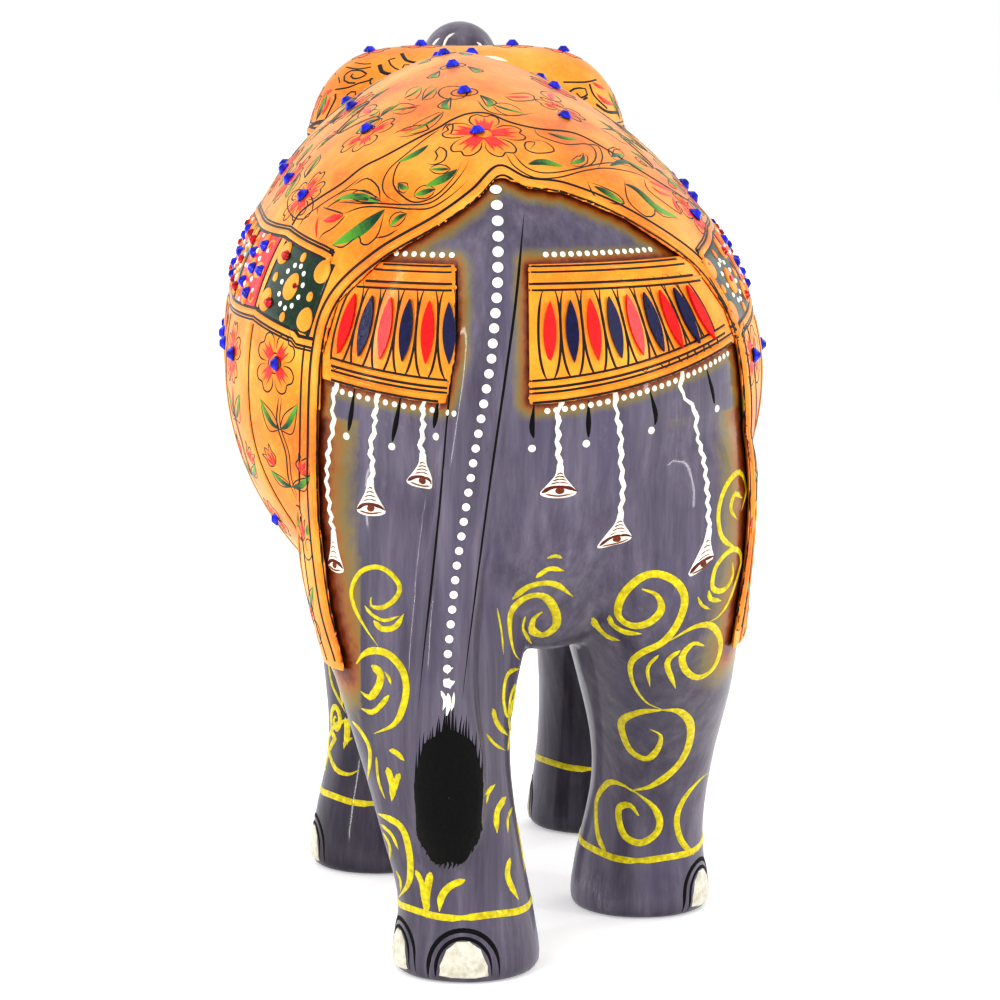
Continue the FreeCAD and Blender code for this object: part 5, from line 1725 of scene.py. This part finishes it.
# ---------------------------------------------------------------- pieces of wood and paste
CLOTH = paste_layer("saddle_cloth_paste", "saddle_cloth", GOLD, "gilded_cloth")
BANDS = {side: paste_layer("rump_band_paste_" + side, "rump_band_" + side, BAND_GOLD, "gilded_band", 0.5, 3)
         for side in ("left", "right")}
CAP = paste_layer("head_cloth_paste", "head_cloth", HEAD_GOLD, "gilded_head", 0.6, 3)
PASTE_SKIN = Skin(CLOTH, CAP, *BANDS.values())
BODY = carved_body(PASTE_SKIN)
TRUNK = raised_trunk(PASTE_SKIN)
BODY_SKIN = Skin(BODY, TRUNK)
CLOTH_SKIN = Skin(CLOTH)

PAINTS = {name: Paint(name) for name in ("yellow", "nail", "black", "white", "bell_brown", "cord")}
scrolls(BODY_SKIN, PAINTS["yellow"])
ankle_rings(BODY_SKIN, PAINTS["yellow"])
toenails(BODY_SKIN, PAINTS["nail"], PAINTS["black"])
tail_tuft(BODY_SKIN, PAINTS["black"])
tassels(BODY_SKIN, PAINTS["white"], PAINTS["bell_brown"], PAINTS["cord"], PAINTS["black"])

CLOTH_COLOURS = ("line", "red", "green", "gold", "band_gold", "crimson", "dark_green", "white")
CLOTH_PAINT = {name: Paint(name) for name in CLOTH_COLOURS}
CLOTH_PAINT["white"].name = "white_dots"
CLOTH_PAINT["line"].breadth = 1.5
BAND_SKINS = {side: Skin(piece) for side, piece in BANDS.items()}
rear_rims(CLOTH_SKIN, CLOTH_PAINT["line"], CLOTH_PAINT["gold"])
rear_strip(CLOTH_SKIN, CLOTH_PAINT["line"], CLOTH_PAINT["red"], CLOTH_PAINT["green"])
for word in SIDES:
    flank = chequered_band(CLOTH_SKIN, word, CLOTH_PAINT)
    for k in range(CHECK_COUNT):
        panel(CLOTH_SKIN, word, flank, k, CLOTH_PAINT)
    panel_dividers(CLOTH_SKIN, word, flank, CLOTH_PAINT)
    hem_border(CLOTH_SKIN, word, CLOTH_PAINT)
    flank_field(CLOTH_SKIN, word, CLOTH_PAINT)
    rump_ornament(BAND_SKINS[word], word, CLOTH_PAINT)
    vine(CLOTH_SKIN, CLOTH_PAINT, -58.0, 38.0, SIDES[word] * 31.0, 4.5)
spine_ornament(CLOTH_SKIN, CLOTH_PAINT)
front_rim(CLOTH_SKIN, CLOTH_PAINT)

CLOTH_LOOKS = {"line": (LINE, "gilded_cloth"), "red": (RED, "red_enamel"), "green": (LEAF, "gilded_cloth"),
               "gold": (GOLD, "gilded_cloth"), "band_gold": (BAND_GOLD, "gilded_band"),
               "crimson": (CRIMSON, "red_enamel"), "dark_green": (DARK_GREEN, "gilded_cloth"),
               "white": (WHITE_ENAMEL, "white_enamel")}
for name, (material, slot) in CLOTH_LOOKS.items():
    CLOTH_PAINT[name].build(material, slot)

CAP_SKIN = Skin(CAP)
CAP_PAINT = {name: Paint("head_" + name) for name in ("line", "red", "green", "head_gold", "blue", "white")}
CAP_PAINT["line"].breadth = 1.4
cap_ornament(CAP_SKIN, CAP_PAINT)
for word, side in SIDES.items():
    ear_ornament(Skin(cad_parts["ear_" + word]), side, CAP_PAINT)
CAP_LOOKS = {"line": (LINE, "gilded_head"), "red": (RED, "red_enamel"), "green": (LEAF, "gilded_head"),
             "head_gold": (HEAD_GOLD, "gilded_head"), "blue": (NAVY, "navy_enamel"),
             "white": (WHITE, "white_enamel")}
for name, (material, slot) in CAP_LOOKS.items():
    CAP_PAINT[name].build(material, slot)

eyes(BODY_SKIN, PAINTS)
trunk_bands(BODY_SKIN, PAINTS)
face_ornament(BODY_SKIN, PAINTS)
leg_scrolls(BODY_SKIN, PAINTS["yellow"])
tail_touches(BODY_SKIN, PAINTS["white"])
# painted shade along both sides of the tail
for edge in TAIL_SHADE_LINES:
    stroke(PAINTS["black"], BODY_SKIN, from_behind, edge, 0.8, 0.1)

BODY_PAINT = {"yellow": (YELLOW, "grey_body"), "nail": (NAIL, "ivory_paint"), "black": (BLACK, "grey_body"),
              "white": (WHITE, "white_enamel"), "bell_brown": (BROWN, "grey_body"),
              "cord": (WHITE, "white_enamel")}
for name, (material, slot) in BODY_PAINT.items():
    PAINTS[name].build(material, slot)


def carry_over():
    """CAD nodes whose shape is right get their finish."""
    looks = {"blue_stones_saddle": BLUE_GLASS, "blue_stones_head": BLUE_GLASS, "red_stones_saddle": RED_GLASS,
             "petals_red": RED_ENAMEL, "petals_blue": NAVY_ENAMEL, "bead_drops": WHITE_ENAMEL,
             "band_drops": WHITE_ENAMEL, "tail_drops": WHITE_ENAMEL, "ear_left": HEAD_GOLD,
             "ear_right": HEAD_GOLD, "tusk_left": IVORY, "tusk_right": IVORY, "trunk_dowel": WOOD,
             "ear_peg_left": WOOD, "ear_peg_right": WOOD}
    for node, material in looks.items():
        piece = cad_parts[node]
        piece.data.materials.clear()
        piece.data.materials.append(material)


carry_over()


# ---------------------------------------------------------------- floor, light and camera
def area_light(name, place, target, size, power):
    lamp = bpy.data.lights.new(name, "AREA")
    lamp.shape = "RECTANGLE"
    lamp.size, lamp.size_y = size
    lamp.energy = power
    lamp.color = (1, 1, 1)
    holder = bpy.data.objects.new(name, lamp)
    bpy.context.scene.collection.objects.link(holder)
    holder.location = place
    holder.rotation_euler = (Vector(target) - Vector(place)).to_track_quat("-Z", "Y").to_euler()


def studio():
    """A pale floor and soft white light from all round, as in a light tent."""
    half = 4000.0
    floor = mesh_object("floor", [(-half, -half, -0.05), (half, -half, -0.05), (half, half, -0.05),
                                  (-half, half, -0.05)], [(0, 1, 2, 3)])
    floor.data.materials.append(pale_floor("pale_floor", 0.4))
    middle = (0.0, 0.0, 0.11)
    area_light("key", (-0.55, -1.0, 0.75), middle, (0.5, 0.7), 2.4)
    area_light("fill", (0.75, -0.85, 0.45), middle, (0.5, 0.8), 1.2)
    area_light("top", (0.0, 0.1, 1.1), middle, (0.9, 0.9), 1.2)
    area_light("rim_left", (-0.9, 0.55, 0.4), middle, (0.6, 0.8), 2.0)
    area_light("rim_right", (0.9, 0.55, 0.4), middle, (0.6, 0.8), 2.0)
    area_light("strip_left", (-0.75, -0.55, 0.3), middle, (0.04, 0.5), 2.0)
    area_light("strip_right", (0.75, -0.55, 0.3), middle, (0.04, 0.5), 1.6)
    world = bpy.data.worlds.new("pale_sky")
    world.use_nodes = True
    world.node_tree.nodes["Background"].inputs["Color"].default_value = (1, 1, 1, 1)
    world.node_tree.nodes["Background"].inputs["Strength"].default_value = 1.0
    bpy.context.scene.world = world
    bpy.context.scene.view_settings.view_transform = "Standard"
    bpy.context.scene.view_settings.gamma = 0.82


def camera():
    data = bpy.data.cameras.new("camera")
    data.lens = LENS
    data.sensor_width = 36.0
    data.clip_start, data.clip_end = 0.05, 20.0
    data.dof.use_dof = False
    holder = bpy.data.objects.new("camera", data)
    bpy.context.scene.collection.objects.link(holder)
    holder.location = EYE * MM
    holder.rotation_euler = LOOK.to_track_quat("-Z", "Y").to_euler()
    bpy.context.scene.camera = holder


studio()
camera()
